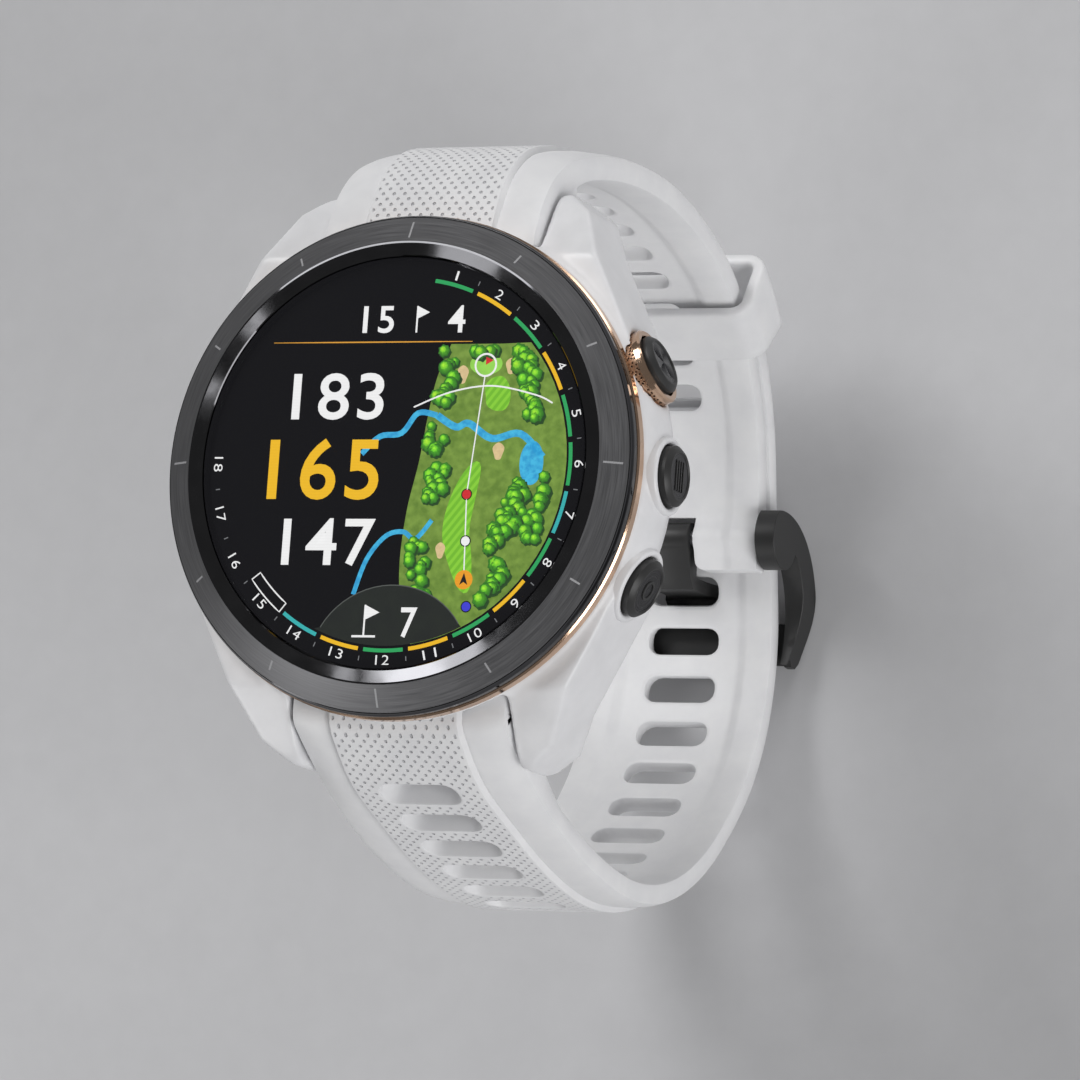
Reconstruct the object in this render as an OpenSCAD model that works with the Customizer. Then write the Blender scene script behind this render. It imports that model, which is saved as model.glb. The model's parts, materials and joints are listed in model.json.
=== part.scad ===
// Golf GPS watch: round head with three side buttons, on a buckled silicone strap.
// The origin is the centre of the sensor window on the back, where the wrist holds the watch.
// +Z points out of the dial, +Y to 12 o'clock and +X to 3 o'clock.

/* [Glass and bezel] */
// Width of the bezel outside the glass
bezel_w = 3.9; // [3.6:0.1:4.2]
// Width of the polished ring round the glass
polish_w = 1.3; // [1:0.1:1.6]
// Drop of the brushed cone
bezel_drop = 1.25; // [0.9:0.05:1.5]
// Thickness of the cover glass
glass_t = 1.3; // [1:0.1:1.6]
// Width of the ledge under the glass
ledge_w = 1.2; // [0.9:0.1:1.5]
// Height of the trim ring
trim_h = 1.15; // [0.9:0.05:1.3]

/* [Case] */
// Height from the back to the face of the glass
head_h = 12.9; // [12.6:0.1:13.4]
// Largest radius of the case
case_r = 22.4; // [22.1:0.1:22.7]
// How far the case stands out past the bezel
case_flare = 0.8; // [0.6:0.1:1]
// Thickness of the wall between the lugs
neck_wall = 1.95; // [1.7:0.05:2.1]
// Gap between the strap and a lug
lug_clear = 0.25; // [0.2:0.05:0.4]
// How far the lug tips reach past the case
lug_reach = 2.5; // [2.2:0.1:3]
// Width of a lug at its tip
lug_w = 3.35; // [3:0.05:3.7]
// Width of the seat of the case back
back_seat = 1.2; // [1:0.1:1.3]
// Width of the flange round the raised part of the back
back_flange = 3.2; // [3:0.1:3.4]
// Radius of the sensor window
window_r = 8.5; // [8:0.1:9]

/* [Inside] */
// Gap between the display panel and the ledge
display_gap = 0.6; // [0.4:0.1:0.9]
// Thickness of the display panel
display_t = 1.5; // [1.2:0.1:1.6]
// Thickness of the main board
board_t = 0.8; // [0.6:0.1:0.9]
// Gap between the battery and the sensor board
battery_gap = 0.9; // [0.8:0.1:1.2]
// Length of the battery
battery_l = 20; // [18:0.5:20.5]
// Radius of the vibration motor
motor_r = 3.4; // [3:0.1:3.4]

/* [Buttons] */
// Angle from 3 o'clock to the upper and the lower button
button_angle = 24.6; // [24:0.1:26]
// Depth of the button axes below the top of the case
button_drop = 3.6; // [3.4:0.1:3.8]
// Radius of a button cap
cap_r = 2.6; // [2.4:0.05:2.65]
// How far a cap stands out of the case
cap_proud = 1.2; // [1:0.1:1.4]
// Radius of a button stem
stem_r = 0.8; // [0.7:0.05:0.9]
// Travel of a button
press = 0.6; // [0.4:0.05:0.6]
// Wall of the textured collar
collar_wall = 0.6; // [0.5:0.05:0.7]

/* [Strap] */
// Width of the strap at the lugs
strap_w = 20; // [19.8:0.1:20]
// Width of the strap at the buckle
strap_end_w = 18; // [17.6:0.1:18]
// Thickness of the strap at its rails
strap_t = 2; // [1.9:0.05:2.1]
// Height of the middle band over the rails
band_h = 0.7; // [0.4:0.1:0.8]
// Width of the middle band
band_w = 12; // [11:0.5:13]
// Length of a slot across the strap
slot_w = 7.6; // [7.2:0.1:8]
// Width of a slot along the strap
slot_l = 3.1; // [2.9:0.1:3.2]
// Distance between slots
slot_pitch = 4.9; // [4.7:0.1:5.1]
// Gap between the two layers of the strap
layer_gap = 0.35; // [0.3:0.05:0.45]

/* [Buckle and keeper] */
// Radius of the buckle pin
pin_r = 0.75; // [0.65:0.05:0.8]
// Width of an arm of the buckle frame
arm_w = 1.9; // [1.6:0.1:2.2]
// Outer radius of the curve of the frame
frame_r = 9.2; // [9:0.1:9.6]
// Half of the width of the tongue's stem
stem_w = 2.1; // [1.8:0.1:2.2]
// Half of the width of the tongue's foot
foot_w = 3.1; // [2.8:0.1:3.2]
// Length of the keeper along the strap
keeper_l = 6.5; // [6:0.5:7]
// Wall of the keeper
keeper_wall = 1.3; // [1.1:0.1:1.5]

/* [Hidden] */
$fn = 96;

white = [0.9, 0.9, 0.91];
dark = [0.16, 0.16, 0.17];
graphite = [0.3, 0.3, 0.32];
rose = [0.72, 0.52, 0.4];
steel = [0.7, 0.7, 0.72];

// clearances
seat_gap = 0.1;
fit_gap = 0.05;
run_gap = 0.04;
eps = 0.01;

// radii of the head, from the case in
bezel_r = case_r - case_flare;
trim_r = bezel_r + 0.15;
bezel_skirt_r = trim_r - 1.55;
glass_r = bezel_r - bezel_w;
bezel_ring_r = glass_r + polish_w;
ledge_r = glass_r - ledge_w;
bezel_bore = glass_r + seat_gap;
display_r = ledge_r - display_gap;
case_in_r = glass_r + 0.3;
case_neck_r = case_in_r + neck_wall;
back_r = case_in_r + back_seat;
back_step_r = back_r - back_flange;
antenna_r = case_in_r + 0.9;
lug_y = case_r + lug_reach;
lug_root = 10;
lug_gap = strap_w / 2 + lug_clear;
lug_x = lug_gap + lug_w;

// levels of the head, from the face of the glass down
glass_bottom = head_h - glass_t;
ring_rise = 0.2;
gasket_t = 0.3;
ledge_top = glass_bottom - gasket_t;
ledge_t = 0.9;
ledge_bottom = ledge_top - ledge_t;
cone_bottom = head_h + ring_rise - bezel_drop;
bezel_bottom = head_h - 2.1;
trim_gap = 0.05;
case_top = bezel_bottom - trim_gap - trim_h;
belly_top = case_top - 3;
belly_bottom = case_top - 4.7;
lug_crest = case_top - 3.3;
lug_nose = case_top - 5.4;

// levels of the back, from the wrist up
window_t = 0.8;
back_step_z = 0.3;
case_bottom = 1;
back_t = 0.8;
back_top = case_bottom + back_t;
window_lip = 1.1;

// stack inside
display_bottom = glass_bottom - display_t;
chassis_r = case_in_r - 0.3;
chassis_wall = 1.1;
chassis_floor_z = display_bottom - 3.2;
chassis_floor_t = 0.6;
chassis_bottom = chassis_floor_z - 2.3;
board_r = chassis_r - chassis_wall - 0.2;
board_z = chassis_floor_z + chassis_floor_t + 0.4;
antenna_z = case_top - 2;
antenna_h = 1.6;
switch_face = case_in_r - 1.4;
switch_depth = 1.7;
switch_w = 3;
switch_h = 1.6;
cable_w = 12;
cable_y = 8;
motor_t = 2.8;
motor_p = [switch_face - switch_depth - motor_r - 1.1, 4.6];
sensor_board_r = window_r + 0.5;
sensor_board_t = 0.8;
battery_t = chassis_floor_z - back_top - sensor_board_t - battery_gap;
battery_r = chassis_r - chassis_wall - 0.6;
battery_right = motor_p[0] - motor_r - 1.5;
battery_left = -sqrt(pow(battery_r, 2) - pow(battery_l / 2, 2));
led_ring_r = 4.6;
led_w = 1.6;
led_t = 0.5;
sensor_w = 2.4;
sensor_t = 0.6;

// buttons
button_z = case_top - button_drop;
pocket_r = cap_r + 0.15;
pocket_floor = case_r - 1.5;
cap_in = pocket_floor + press + 0.2;
cap_chamfer = 0.35;
stem_in = switch_face + press + 0.15;
clip_t = 0.25;
clip_in = stem_in + 0.15;
clip_r = 1.5;
raised_r = pocket_r + 0.5;
raised_out = case_r + 0.1;
collar_r = pocket_r + collar_wall;
collar_in = pocket_floor + 0.1;
collar_out = case_r + 0.5;
cap_out = case_r + cap_proud;
seal_in = pocket_floor - 1.7;
seal_t = 0.6;
seal_r = 1.4;
BUTTONS = [button_angle, 0, -button_angle];

// screws of the back
screw_ring_r = case_in_r - 1.1;
screw_head_r = 1.2;
screw_head_t = 0.5;
screw_r = 0.6;
screw_boss_r = 1.5;
screw_boss_top = 4.2;
screw_head_z = back_top - 0.85;

// charging port in the back
port_y = back_flange + 0.4 - back_step_r;
port_w = 8.2;
port_l = 3.2;
port_depth = 0.7;
port_pin_r = 0.45;
port_pin_pitch = 1.9;

// spring bars at the lugs
bar_y = lug_y - 2.7;
bar_z = 3.3;
bar_r = 0.9;
bar_bore = 0.6;
tip_r = 0.45;
tip_out = lug_gap + 1.25;
lug_hole_end = tip_out + 0.4;
strap_boss_r = 2.4;
release_travel = 1.4;
knob_x = 6;
knob_r = 0.6;
knob_l = 2.3;
shank_r = bar_bore - run_gap;
shank_in = 3;
bar_plug_x = 0.5;

// outer lines of the strap halves in the Y-Z plane, as legs of [radius, sweep] or [length, 0];
// the loop grows with the distance between the spring bars
drawn_bar_y = 22.2;
loop_k = bar_y / drawn_bar_y;
function grown(legs) = [for (leg = legs) [leg[0] * loop_k, leg[1]]];
UP_START = loop_k * [1.2, -50.7];
UP_HEADING = 1;
UP_LEGS = grown([[58, 9], [23.4, 60], [55, 38], [12.1, 55.5]]);
LOW_POINT = loop_k * [6, -55.4];
LOW_BEND_R = loop_k * 20;
LOW_LEGS = grown([[21.9, 38.2], [34.7, 60.5], [60.4, 26.5]]);
TAIL_TIP_HEADING = 48;
leg_step = 5;

function heading_v(h) = [cos(h), sin(h)];
function left_v(h) = [-sin(h), cos(h)];
// centre of an arc leg that starts at p with heading h
function leg_centre(p, h, leg) = p + leg[0] * left_v(h);
// point of an arc about c with radius r where the heading is h
function on_arc(c, r, h) = c - r * left_v(h);
function leg_end(p, h, leg) = leg[1] == 0
    ? p + leg[0] * heading_v(h)
    : on_arc(leg_centre(p, h, leg), leg[0], h + leg[1]);
function leg_length(leg) = leg[1] == 0 ? leg[0] : leg[0] * leg[1] * PI / 180;
function steps(leg) = max(1, ceil(leg[1] / leg_step));
// points along the legs, moved inwards by d
function track(p, h, legs, d, i = 0) = i == len(legs)
    ? [p + d * left_v(h)]
    : concat(
        [for (k = [0:steps(legs[i]) - 1])
            legs[i][1] == 0
                ? p + d * left_v(h)
                : on_arc(leg_centre(p, h, legs[i]), legs[i][0] - d, h + legs[i][1] * k / steps(legs[i]))],
        track(leg_end(p, h, legs[i]), h + legs[i][1], legs, d, i + 1));
// [point, heading] at a distance s along the legs
function place(p, h, legs, s, i = 0) = i == len(legs) - 1 || s <= leg_length(legs[i])
    ? (legs[i][1] == 0
        ? [p + s * heading_v(h), h]
        : let (turn = s / legs[i][0] * 180 / PI)
            [on_arc(leg_centre(p, h, legs[i]), legs[i][0], h + turn), h + turn])
    : place(leg_end(p, h, legs[i]), h + legs[i][1], legs, s - leg_length(legs[i]), i + 1);
function total(legs, i = 0) = i == len(legs) ? 0 : leg_length(legs[i]) + total(legs, i + 1);
function reversed(v) = [for (i = [len(v) - 1:-1:0]) v[i]];

// arc that both layers and the keeper share, centred inside the loop
wrap_p = leg_end(UP_START, UP_HEADING, UP_LEGS[0]);
wrap_h = UP_HEADING + UP_LEGS[0][1];
wrap_c = leg_centre(wrap_p, wrap_h, UP_LEGS[1]);
up_r = UP_LEGS[1][0];
tail_r = up_r + layer_gap + strap_t;

// the lower half is drawn mirrored, from its tail to its lug
tail_c = [-wrap_c[0], wrap_c[1]];
bend_c = LOW_POINT + [0, LOW_BEND_R];
span_v = bend_c - tail_c;
// heading of the line that touches both the tail's arc and the bend
tail_h = atan2(span_v[1], span_v[0]) + asin((tail_r - LOW_BEND_R) / norm(span_v));
tail_straight = sqrt(pow(norm(span_v), 2) - pow(tail_r - LOW_BEND_R, 2));
DOWN_START = on_arc(tail_c, tail_r, -TAIL_TIP_HEADING);
DOWN_LEGS = concat([[tail_r, TAIL_TIP_HEADING + tail_h], [tail_straight, 0], [LOW_BEND_R, -tail_h]],
    LOW_LEGS);

// slots
tongue_y = 0.2;
tongue_back = (LOW_POINT[0] + LOW_BEND_R * sin(tail_h) + tongue_y) / cos(tail_h);
tongue_s = leg_length(DOWN_LEGS[0]) + tail_straight - tongue_back;
up_margin = 12;
low_margin = 6.5;
tip_margin = 7;
low_first = -floor((tongue_s - tip_margin) / slot_pitch);
low_last = floor((total(DOWN_LEGS) - low_margin - tongue_s) / slot_pitch);
up_first_s = 17;
up_last = floor((total(UP_LEGS) - up_margin - up_first_s) / slot_pitch);
taper_top = -20;
taper_bottom = -46;
strap_span = 90;
strap_top = case_top - 0.85;
flange_z = case_top - 0.55;

// buckle
pin_p = loop_k * [4.2, -49.2];
pin_boss_r = 1.75;
notch_w = stem_w + 0.4;
notch_l = 2;
arm_gap = 0.4;
arm_in = strap_end_w / 2 + arm_gap;
frame_c = loop_k * [-2.5, -49];
frame_in_c = frame_c + [-0.9, 2.1];
frame_in_r = frame_r - 0.8;
head_r = 2.9;
bar_start = -2.6;
bar_gap = 0.4;
bar_top = LOW_POINT[1] - bar_gap;
frame_end_angle = -118;
tongue_t = 1.2;
tongue_barrel_r = 1.45;
foot_l = 5.1;
foot_z = frame_c[1] - frame_r + 0.3;
foot_gap = 0.3;
foot_rise = 5.8;

// keeper
keeper_heading = 50;
keeper_gap = 0.3;
keeper_sweep = keeper_l / up_r * 180 / PI;
keeper_in_r = up_r - strap_t - 0.3 - keeper_gap;
keeper_out_r = tail_r + keeper_gap;
keeper_x = strap_end_w / 2 + 0.45 + keeper_gap;
keeper_chamfer = 1.1;

module ring(r_out, r_in, z, h) {
    translate([0, 0, z]) difference() {
        cylinder(r = r_out, h = h);
        translate([0, 0, -eps]) cylinder(r = r_in, h = h + 2 * eps);
    }
}

// extrudes an outline drawn in Y and Z, centred on the dial axis
module along_x(w) {
    rotate([90, 0, 90]) translate([0, 0, -w / 2]) linear_extrude(w) children();
}

// turns a piece drawn along +Z so that it points out of the case at a button's angle
module at_button(a) {
    rotate([0, 0, a]) translate([0, 0, button_z]) rotate([0, 90, 0]) children();
}

// a wire coil that stands on z = 0
module coil(r, wire, h, turns) {
    sides = 6;
    per_turn = 14;
    n = ceil(turns * per_turn);
    rise = h - 2 * wire;
    points = [for (i = [0:n]) for (k = [0:sides - 1])
        let (a = 360 * turns * i / n, b = 360 * k / sides, q = r + wire * cos(b))
            [q * cos(a), q * sin(a), wire + rise * i / n + wire * sin(b)]];
    walls = [for (i = [0:n - 1]) for (k = [0:sides - 1])
        [i * sides + k, (i + 1) * sides + k, (i + 1) * sides + (k + 1) % sides, i * sides + (k + 1) % sides]];
    ends = [[for (k = [0:sides - 1]) k], [for (k = [sides - 1:-1:0]) n * sides + k]];
    polyhedron(points, concat(walls, ends));
}

module glass_lens() color([0.1, 0.1, 0.12, 0.5])
    rotate_extrude() polygon([[0, glass_bottom], [glass_r, glass_bottom], [glass_r, head_h - 0.15],
        [glass_r - 0.15, head_h], [0, head_h]]);

module lens_gasket() color(dark)
    ring(glass_r, ledge_r, ledge_top, gasket_t);

module bezel_ring() color(graphite)
    rotate_extrude() polygon([[bezel_bore, head_h], [bezel_ring_r, head_h + ring_rise],
        [bezel_r - 0.25, cone_bottom], [bezel_r, cone_bottom - 0.35], [bezel_r, bezel_bottom],
        [bezel_skirt_r, bezel_bottom], [bezel_skirt_r, case_top], [antenna_r + 0.05, case_top],
        [antenna_r + 0.05, ledge_bottom], [ledge_r, ledge_bottom], [ledge_r, ledge_top],
        [bezel_bore, ledge_top]]);

module trim_ring() color(rose)
    rotate_extrude() polygon([[bezel_skirt_r + fit_gap, case_top], [trim_r - 0.15, case_top],
        [trim_r, case_top + 0.15], [trim_r, case_top + trim_h - 0.15], [trim_r - 0.15, case_top + trim_h],
        [bezel_skirt_r + fit_gap, case_top + trim_h]]);

// one lug in plan: straight sides that touch the round case
module lug_plan() {
    tip_a = atan2(lug_y - 1.9, lug_x);
    touch = tip_a - acos(case_r / norm([lug_x, lug_y - 1.9]));
    polygon([[lug_gap, lug_root], [lug_gap, lug_y], [lug_gap + 0.8, lug_y], [lug_x, lug_y - 1.9],
        case_r * heading_v(touch), [case_in_r, lug_root - 2]]);
}

module lug_side() {
    polygon([[lug_root - 2, flange_z], [lug_y - 6.3, flange_z], [lug_y - 1.8, lug_crest],
        [lug_y - 0.6, lug_crest - 0.9], [lug_y, lug_nose], [lug_y, 0.1], [lug_y - 0.5, -0.8],
        [lug_y - 2.2, -0.5], [lug_y - 5.4, 0.9],
        [lug_root - 2, case_bottom]]);
}

module lugs() {
    for (my = [0, 1]) mirror([0, my, 0]) for (mx = [0, 1]) mirror([mx, 0, 0])
        intersection() {
            translate([0, 0, -2]) linear_extrude(14) lug_plan();
            along_x(2 * case_r + 4) lug_side();
        }
}

module case_body() color(white) difference() {
    union() {
        rotate_extrude() polygon([[case_in_r, case_bottom], [case_r - 2.5, case_bottom], [case_r - 1.4, 2],
            [case_r - 0.5, 3.2], [case_r, belly_bottom], [case_r, belly_top], [case_r - 0.2, case_top - 1.3],
            [trim_r - 0.05, case_top], [case_in_r, case_top]]);
        lugs();
        for (a = [0, -button_angle]) at_button(a) translate([0, 0, case_in_r + 1])
            cylinder(r = raised_r, h = raised_out - case_in_r - 1);
        for (a = [45:90:315]) rotate(a) translate([screw_ring_r, 0, back_top])
            cylinder(r = screw_boss_r, h = screw_boss_top - back_top);
    }
    // bore for the inside, with a step that carries the antenna
    difference() {
        translate([0, 0, case_bottom - 1]) cylinder(r = case_in_r, h = head_h);
        for (a = [45:90:315]) rotate(a) translate([screw_ring_r, 0, 0])
            cylinder(r = screw_boss_r, h = screw_boss_top);
    }
    translate([0, 0, antenna_z]) cylinder(r = antenna_r + 0.05, h = head_h);
    // recess for the back and groove for its gasket
    translate([0, 0, case_bottom - 1]) cylinder(r = back_r + fit_gap, h = back_t + 1);
    ring(back_r - 0.2, case_in_r + 0.3, back_top - eps, gasket_t + eps);
    // the strap ends go between the lugs
    for (my = [0, 1]) mirror([0, my, 0]) difference() {
        translate([-lug_gap, lug_root - 2, -2]) cube([2 * lug_gap, lug_y, flange_z + 2]);
        translate([0, 0, -3]) cylinder(r = case_neck_r, h = flange_z + 4);
    }
    for (my = [0, 1]) mirror([0, my, 0]) translate([-lug_hole_end, bar_y, bar_z]) rotate([0, 90, 0])
        cylinder(r = tip_r + fit_gap, h = 2 * lug_hole_end);
    for (a = [45:90:315]) rotate(a) translate([screw_ring_r, 0, back_top - 1])
        cylinder(r = screw_r + 0.02, h = screw_boss_top - back_top + 0.9);
    for (a = BUTTONS) at_button(a) {
        translate([0, 0, pocket_floor]) cylinder(r = pocket_r, h = 5);
        translate([0, 0, case_in_r - 2]) cylinder(r = stem_r + run_gap, h = 5);
        translate([0, 0, seal_in]) cylinder(r = seal_r + fit_gap, h = seal_t);
    }
    at_button(button_angle) translate([0, 0, collar_in]) cylinder(r = collar_r + fit_gap, h = 5);
}

module case_back() color(graphite) difference() {
    rotate_extrude() polygon([[0, back_step_z], [back_step_r - 0.3, back_step_z],
        [back_step_r, back_step_z + 0.3], [back_step_r, case_bottom], [back_r, case_bottom],
        [back_r, back_top], [0, back_top]]);
    translate([0, 0, -1]) cylinder(r = window_r + fit_gap, h = window_t + 1);
    cylinder(r = window_r - window_lip, h = back_top + 1);
    for (a = [45:90:315]) rotate(a) translate([screw_ring_r, 0, 0]) {
        cylinder(r = screw_r + 0.1, h = back_top + 1);
        cylinder(r = screw_head_r + fit_gap, h = screw_head_z + screw_head_t);
    }
    translate([-port_w / 2 - fit_gap, port_y - port_l / 2 - fit_gap, -1])
        cube([port_w + 2 * fit_gap, port_l + 2 * fit_gap, back_top + 2]);
}

module back_gasket() color(dark)
    ring(back_r - 0.25, case_in_r + 0.35, back_top, gasket_t);

module back_screws() color(steel)
    for (a = [45:90:315]) rotate(a) translate([screw_ring_r, 0, screw_head_z]) difference() {
        union() {
            cylinder(r = screw_head_r, h = screw_head_t);
            cylinder(r = screw_r, h = screw_boss_top - screw_head_z - 0.2);
        }
        translate([0, 0, -eps]) cylinder(r = 0.55, h = 0.3, $fn = 6);
    }

module sensor_window() color([0.05, 0.05, 0.06, 0.8])
    rotate_extrude() polygon([[0, 0], [window_r - 1.2, 0], [window_r - 0.5, 0.1], [window_r - 0.1, 0.3],
        [window_r, 0.5], [window_r, window_t], [0, window_t]]);

module sensor_board() color([0.1, 0.35, 0.2])
    translate([0, 0, back_top]) cylinder(r = sensor_board_r, h = sensor_board_t);

module sensor_leds() color([0.2, 0.8, 0.4]) {
    for (a = [30:60:330]) rotate(a)
        translate([led_ring_r - led_w / 2, -led_w / 2, back_top - led_t]) cube([led_w, led_w, led_t]);
    translate([-sensor_w / 2, -sensor_w / 2, back_top - sensor_t]) cube([sensor_w, sensor_w, sensor_t]);
}

module charge_port() color(dark) difference() {
    translate([-port_w / 2, port_y - port_l / 2, back_step_z]) cube([port_w, port_l, back_top - back_step_z]);
    translate([-port_w / 2 + 0.5, port_y - port_l / 2 + 0.5, back_step_z - 1])
        cube([port_w - 1, port_l - 1, port_depth + 1]);
    for (i = [-1.5:1:1.5]) translate([i * port_pin_pitch, port_y, 0])
        cylinder(r = port_pin_r + 0.02, h = back_top + 1);
}

module charge_pins() color([0.85, 0.7, 0.3])
    for (i = [-1.5:1:1.5]) translate([i * port_pin_pitch, port_y, back_step_z + port_depth - 0.2])
        cylinder(r = port_pin_r, h = back_top - back_step_z - port_depth + 0.2);

module display_panel() color([0.03, 0.03, 0.04])
    translate([0, 0, display_bottom]) cylinder(r = display_r, h = display_t);

module chassis() color(dark) difference() {
    union() {
        ring(chassis_r, chassis_r - chassis_wall, chassis_bottom, ledge_bottom - chassis_bottom);
        translate([0, 0, chassis_floor_z]) cylinder(r = chassis_r - chassis_wall + eps, h = chassis_floor_t);
        ring(chassis_r - chassis_wall + eps, board_r - 1, chassis_floor_z, board_z - chassis_floor_z);
    }
    for (a = BUTTONS) at_button(a)
        translate([button_z - chassis_floor_z - 0.9, -switch_w / 2 - 0.7, switch_face - 0.6])
            cube([switch_h + 2, switch_w + 1.4, case_in_r]);
    translate([-cable_w / 2, cable_y, chassis_floor_z - 1]) cube([cable_w, 3, 3]);
}

module main_board() color([0.08, 0.3, 0.16]) {
    translate([0, 0, board_z]) cylinder(r = board_r, h = board_t);
    for (c = [[-9, -6, 7, 6], [1, -9, 8, 5], [2, 1, 6, 7], [-8, 4, 5, 5]])
        translate([c[0], c[1], board_z + board_t - eps]) cube([c[2], c[3], 0.9]);
}

module antenna_ring() color([0.75, 0.6, 0.35])
    ring(antenna_r, case_in_r + 0.1, antenna_z, antenna_h);

module battery() color([0.55, 0.56, 0.6])
    translate([battery_left, -battery_l / 2, chassis_floor_z - battery_t])
        cube([battery_right - battery_left, battery_l, battery_t]);

module vibration_motor() color(steel) difference() {
    translate([motor_p[0], motor_p[1], chassis_floor_z - motor_t]) cylinder(r = motor_r, h = motor_t);
    translate([motor_p[0], motor_p[1], chassis_floor_z - motor_t - 0.2]) cylinder(r = 0.8, h = 0.6);
}

module button_switches() color(steel)
    for (a = BUTTONS) at_button(a) translate([-(chassis_floor_z - button_z), -switch_w / 2, 0]) {
        translate([0, 0, switch_face - switch_depth])
            cube([switch_h, switch_w, switch_depth]);
        translate([chassis_floor_z - button_z, switch_w / 2, switch_face - 0.1]) cylinder(r = 0.55, h = 0.2);
    }

module button_seals() color(dark)
    for (a = BUTTONS) at_button(a) ring(seal_r, stem_r + run_gap, seal_in, seal_t);

module textured_collar() color(rose)
    at_button(button_angle) translate([0, 0, collar_in]) rotate_extrude()
        polygon([[pocket_r + 0.03, 0], [collar_r, 0], [collar_r, collar_out - collar_in - 0.2],
            [collar_r - 0.2, collar_out - collar_in], [pocket_r + 0.03, collar_out - collar_in]]);

module button(a) color(dark)
    at_button(a) rotate_extrude() polygon([[0, stem_in], [stem_r, stem_in], [stem_r, clip_in],
        [stem_r - 0.22, clip_in], [stem_r - 0.22, clip_in + clip_t], [stem_r, clip_in + clip_t],
        [stem_r, cap_in], [cap_r, cap_in], [cap_r, cap_out - cap_chamfer], [cap_r - cap_chamfer, cap_out],
        [0, cap_out]]);

module clip(a) color(steel) at_button(a) translate([0, 0, clip_in]) difference() {
    cylinder(r = clip_r, h = clip_t);
    translate([0, 0, -eps]) cylinder(r = stem_r - 0.22 + 0.02, h = clip_t + 2 * eps);
    translate([0, -0.5, -eps]) cube([clip_r + 1, 1, clip_t + 2 * eps]);
}

module button_spring(a) color(steel)
    at_button(a) translate([0, 0, pocket_floor]) coil(1.7, 0.14, cap_in - pocket_floor, 2);

// outline of the area that a strap half's outer line bounds
module inside_line(start, heading, legs) {
    line = track(start, heading, legs, 0);
    polygon(concat(line, [[0, line[len(line) - 1][1]]]));
}

// side view of a strap half: the layer, its middle band and the thick end at the lug
module strap_layer(start, heading, legs, d_out, d_in) {
    polygon(concat(track(start, heading, legs, d_out), reversed(track(start, heading, legs, d_in))));
}

module strap_end(start, heading, legs) {
    intersection() {
        inside_line(start, heading, legs);
        translate([case_neck_r - 1, bar_z - strap_boss_r]) square([12, strap_top - bar_z + strap_boss_r]);
    }
    translate([bar_y, bar_z]) circle(r = strap_boss_r);
}

module slot(place_at) {
    translate([0, place_at[0][0], place_at[0][1]]) rotate([place_at[1], 0, 0])
        translate([0, 0, -4]) linear_extrude(8) {
            square([slot_w - slot_l, slot_l], center = true);
            for (s = [-1, 1]) translate([s * (slot_w - slot_l) / 2, 0]) circle(d = slot_l);
        }
}

// cuts that both strap ends share: the case wall, the spring bar and the notch of its knob
module strap_end_cuts() {
    translate([0, 0, -5]) cylinder(r = case_neck_r + 0.2, h = 30);
    translate([-strap_w, -10, strap_top]) cube([2 * strap_w, 60, 10]);
    translate([-strap_w, bar_y, bar_z]) rotate([0, 90, 0]) cylinder(r = bar_r + fit_gap, h = 2 * strap_w);
    translate([knob_x - release_travel - knob_r - 0.3, bar_y - knob_r - 0.3, bar_z - 6])
        cube([release_travel + 2 * knob_r + 0.6, 2 * knob_r + 0.6, 6]);
}

module strap_width() {
    translate([0, strap_span, 0]) rotate([90, 0, 0]) linear_extrude(2 * strap_span)
        polygon([[-strap_w / 2, head_h], [-strap_w / 2, taper_top], [-strap_end_w / 2, taper_bottom],
            [-strap_end_w / 2, -strap_span], [strap_end_w / 2, -strap_span], [strap_end_w / 2, taper_bottom],
            [strap_w / 2, taper_top], [strap_w / 2, head_h]]);
}

module upper_strap() color(white) difference() {
    intersection() {
        union() {
            along_x(strap_w) {
                strap_layer(UP_START, UP_HEADING, UP_LEGS, 0, strap_t + 0.3);
                strap_end(UP_START, UP_HEADING, UP_LEGS);
                translate(pin_p) circle(r = pin_boss_r);
            }
            along_x(band_w) strap_layer(leg_end(wrap_p, wrap_h, UP_LEGS[1]), wrap_h + UP_LEGS[1][1],
                [UP_LEGS[2], UP_LEGS[3]], -band_h, 1);
        }
        strap_width();
    }
    strap_end_cuts();
    translate([-strap_w, pin_p[0], pin_p[1]]) rotate([0, 90, 0]) cylinder(r = pin_r + 0.02, h = 2 * strap_w);
    // notch of the tongue
    translate([-notch_w, UP_START[0] - 3, pin_p[1] - 5])
        cube([2 * notch_w, pin_p[0] + notch_l - UP_START[0] + 3, 10]);
    for (i = [0:up_last]) slot(place(UP_START, UP_HEADING, UP_LEGS, up_first_s + i * slot_pitch));
}

module lower_strap() color(white) mirror([0, 1, 0]) difference() {
    intersection() {
        union() {
            along_x(strap_w) {
                strap_layer(DOWN_START, -TAIL_TIP_HEADING, DOWN_LEGS, 0, strap_t);
                strap_end(DOWN_START, -TAIL_TIP_HEADING, DOWN_LEGS);
            }
            along_x(band_w) strap_layer(leg_end(LOW_POINT, 0, LOW_LEGS[0]), LOW_LEGS[0][1],
                [LOW_LEGS[1], LOW_LEGS[2]], -band_h, 1);
        }
        strap_width();
    }
    strap_end_cuts();
    for (i = [low_first:low_last])
        slot(place(DOWN_START, -TAIL_TIP_HEADING, DOWN_LEGS, tongue_s + i * slot_pitch));
}

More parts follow.
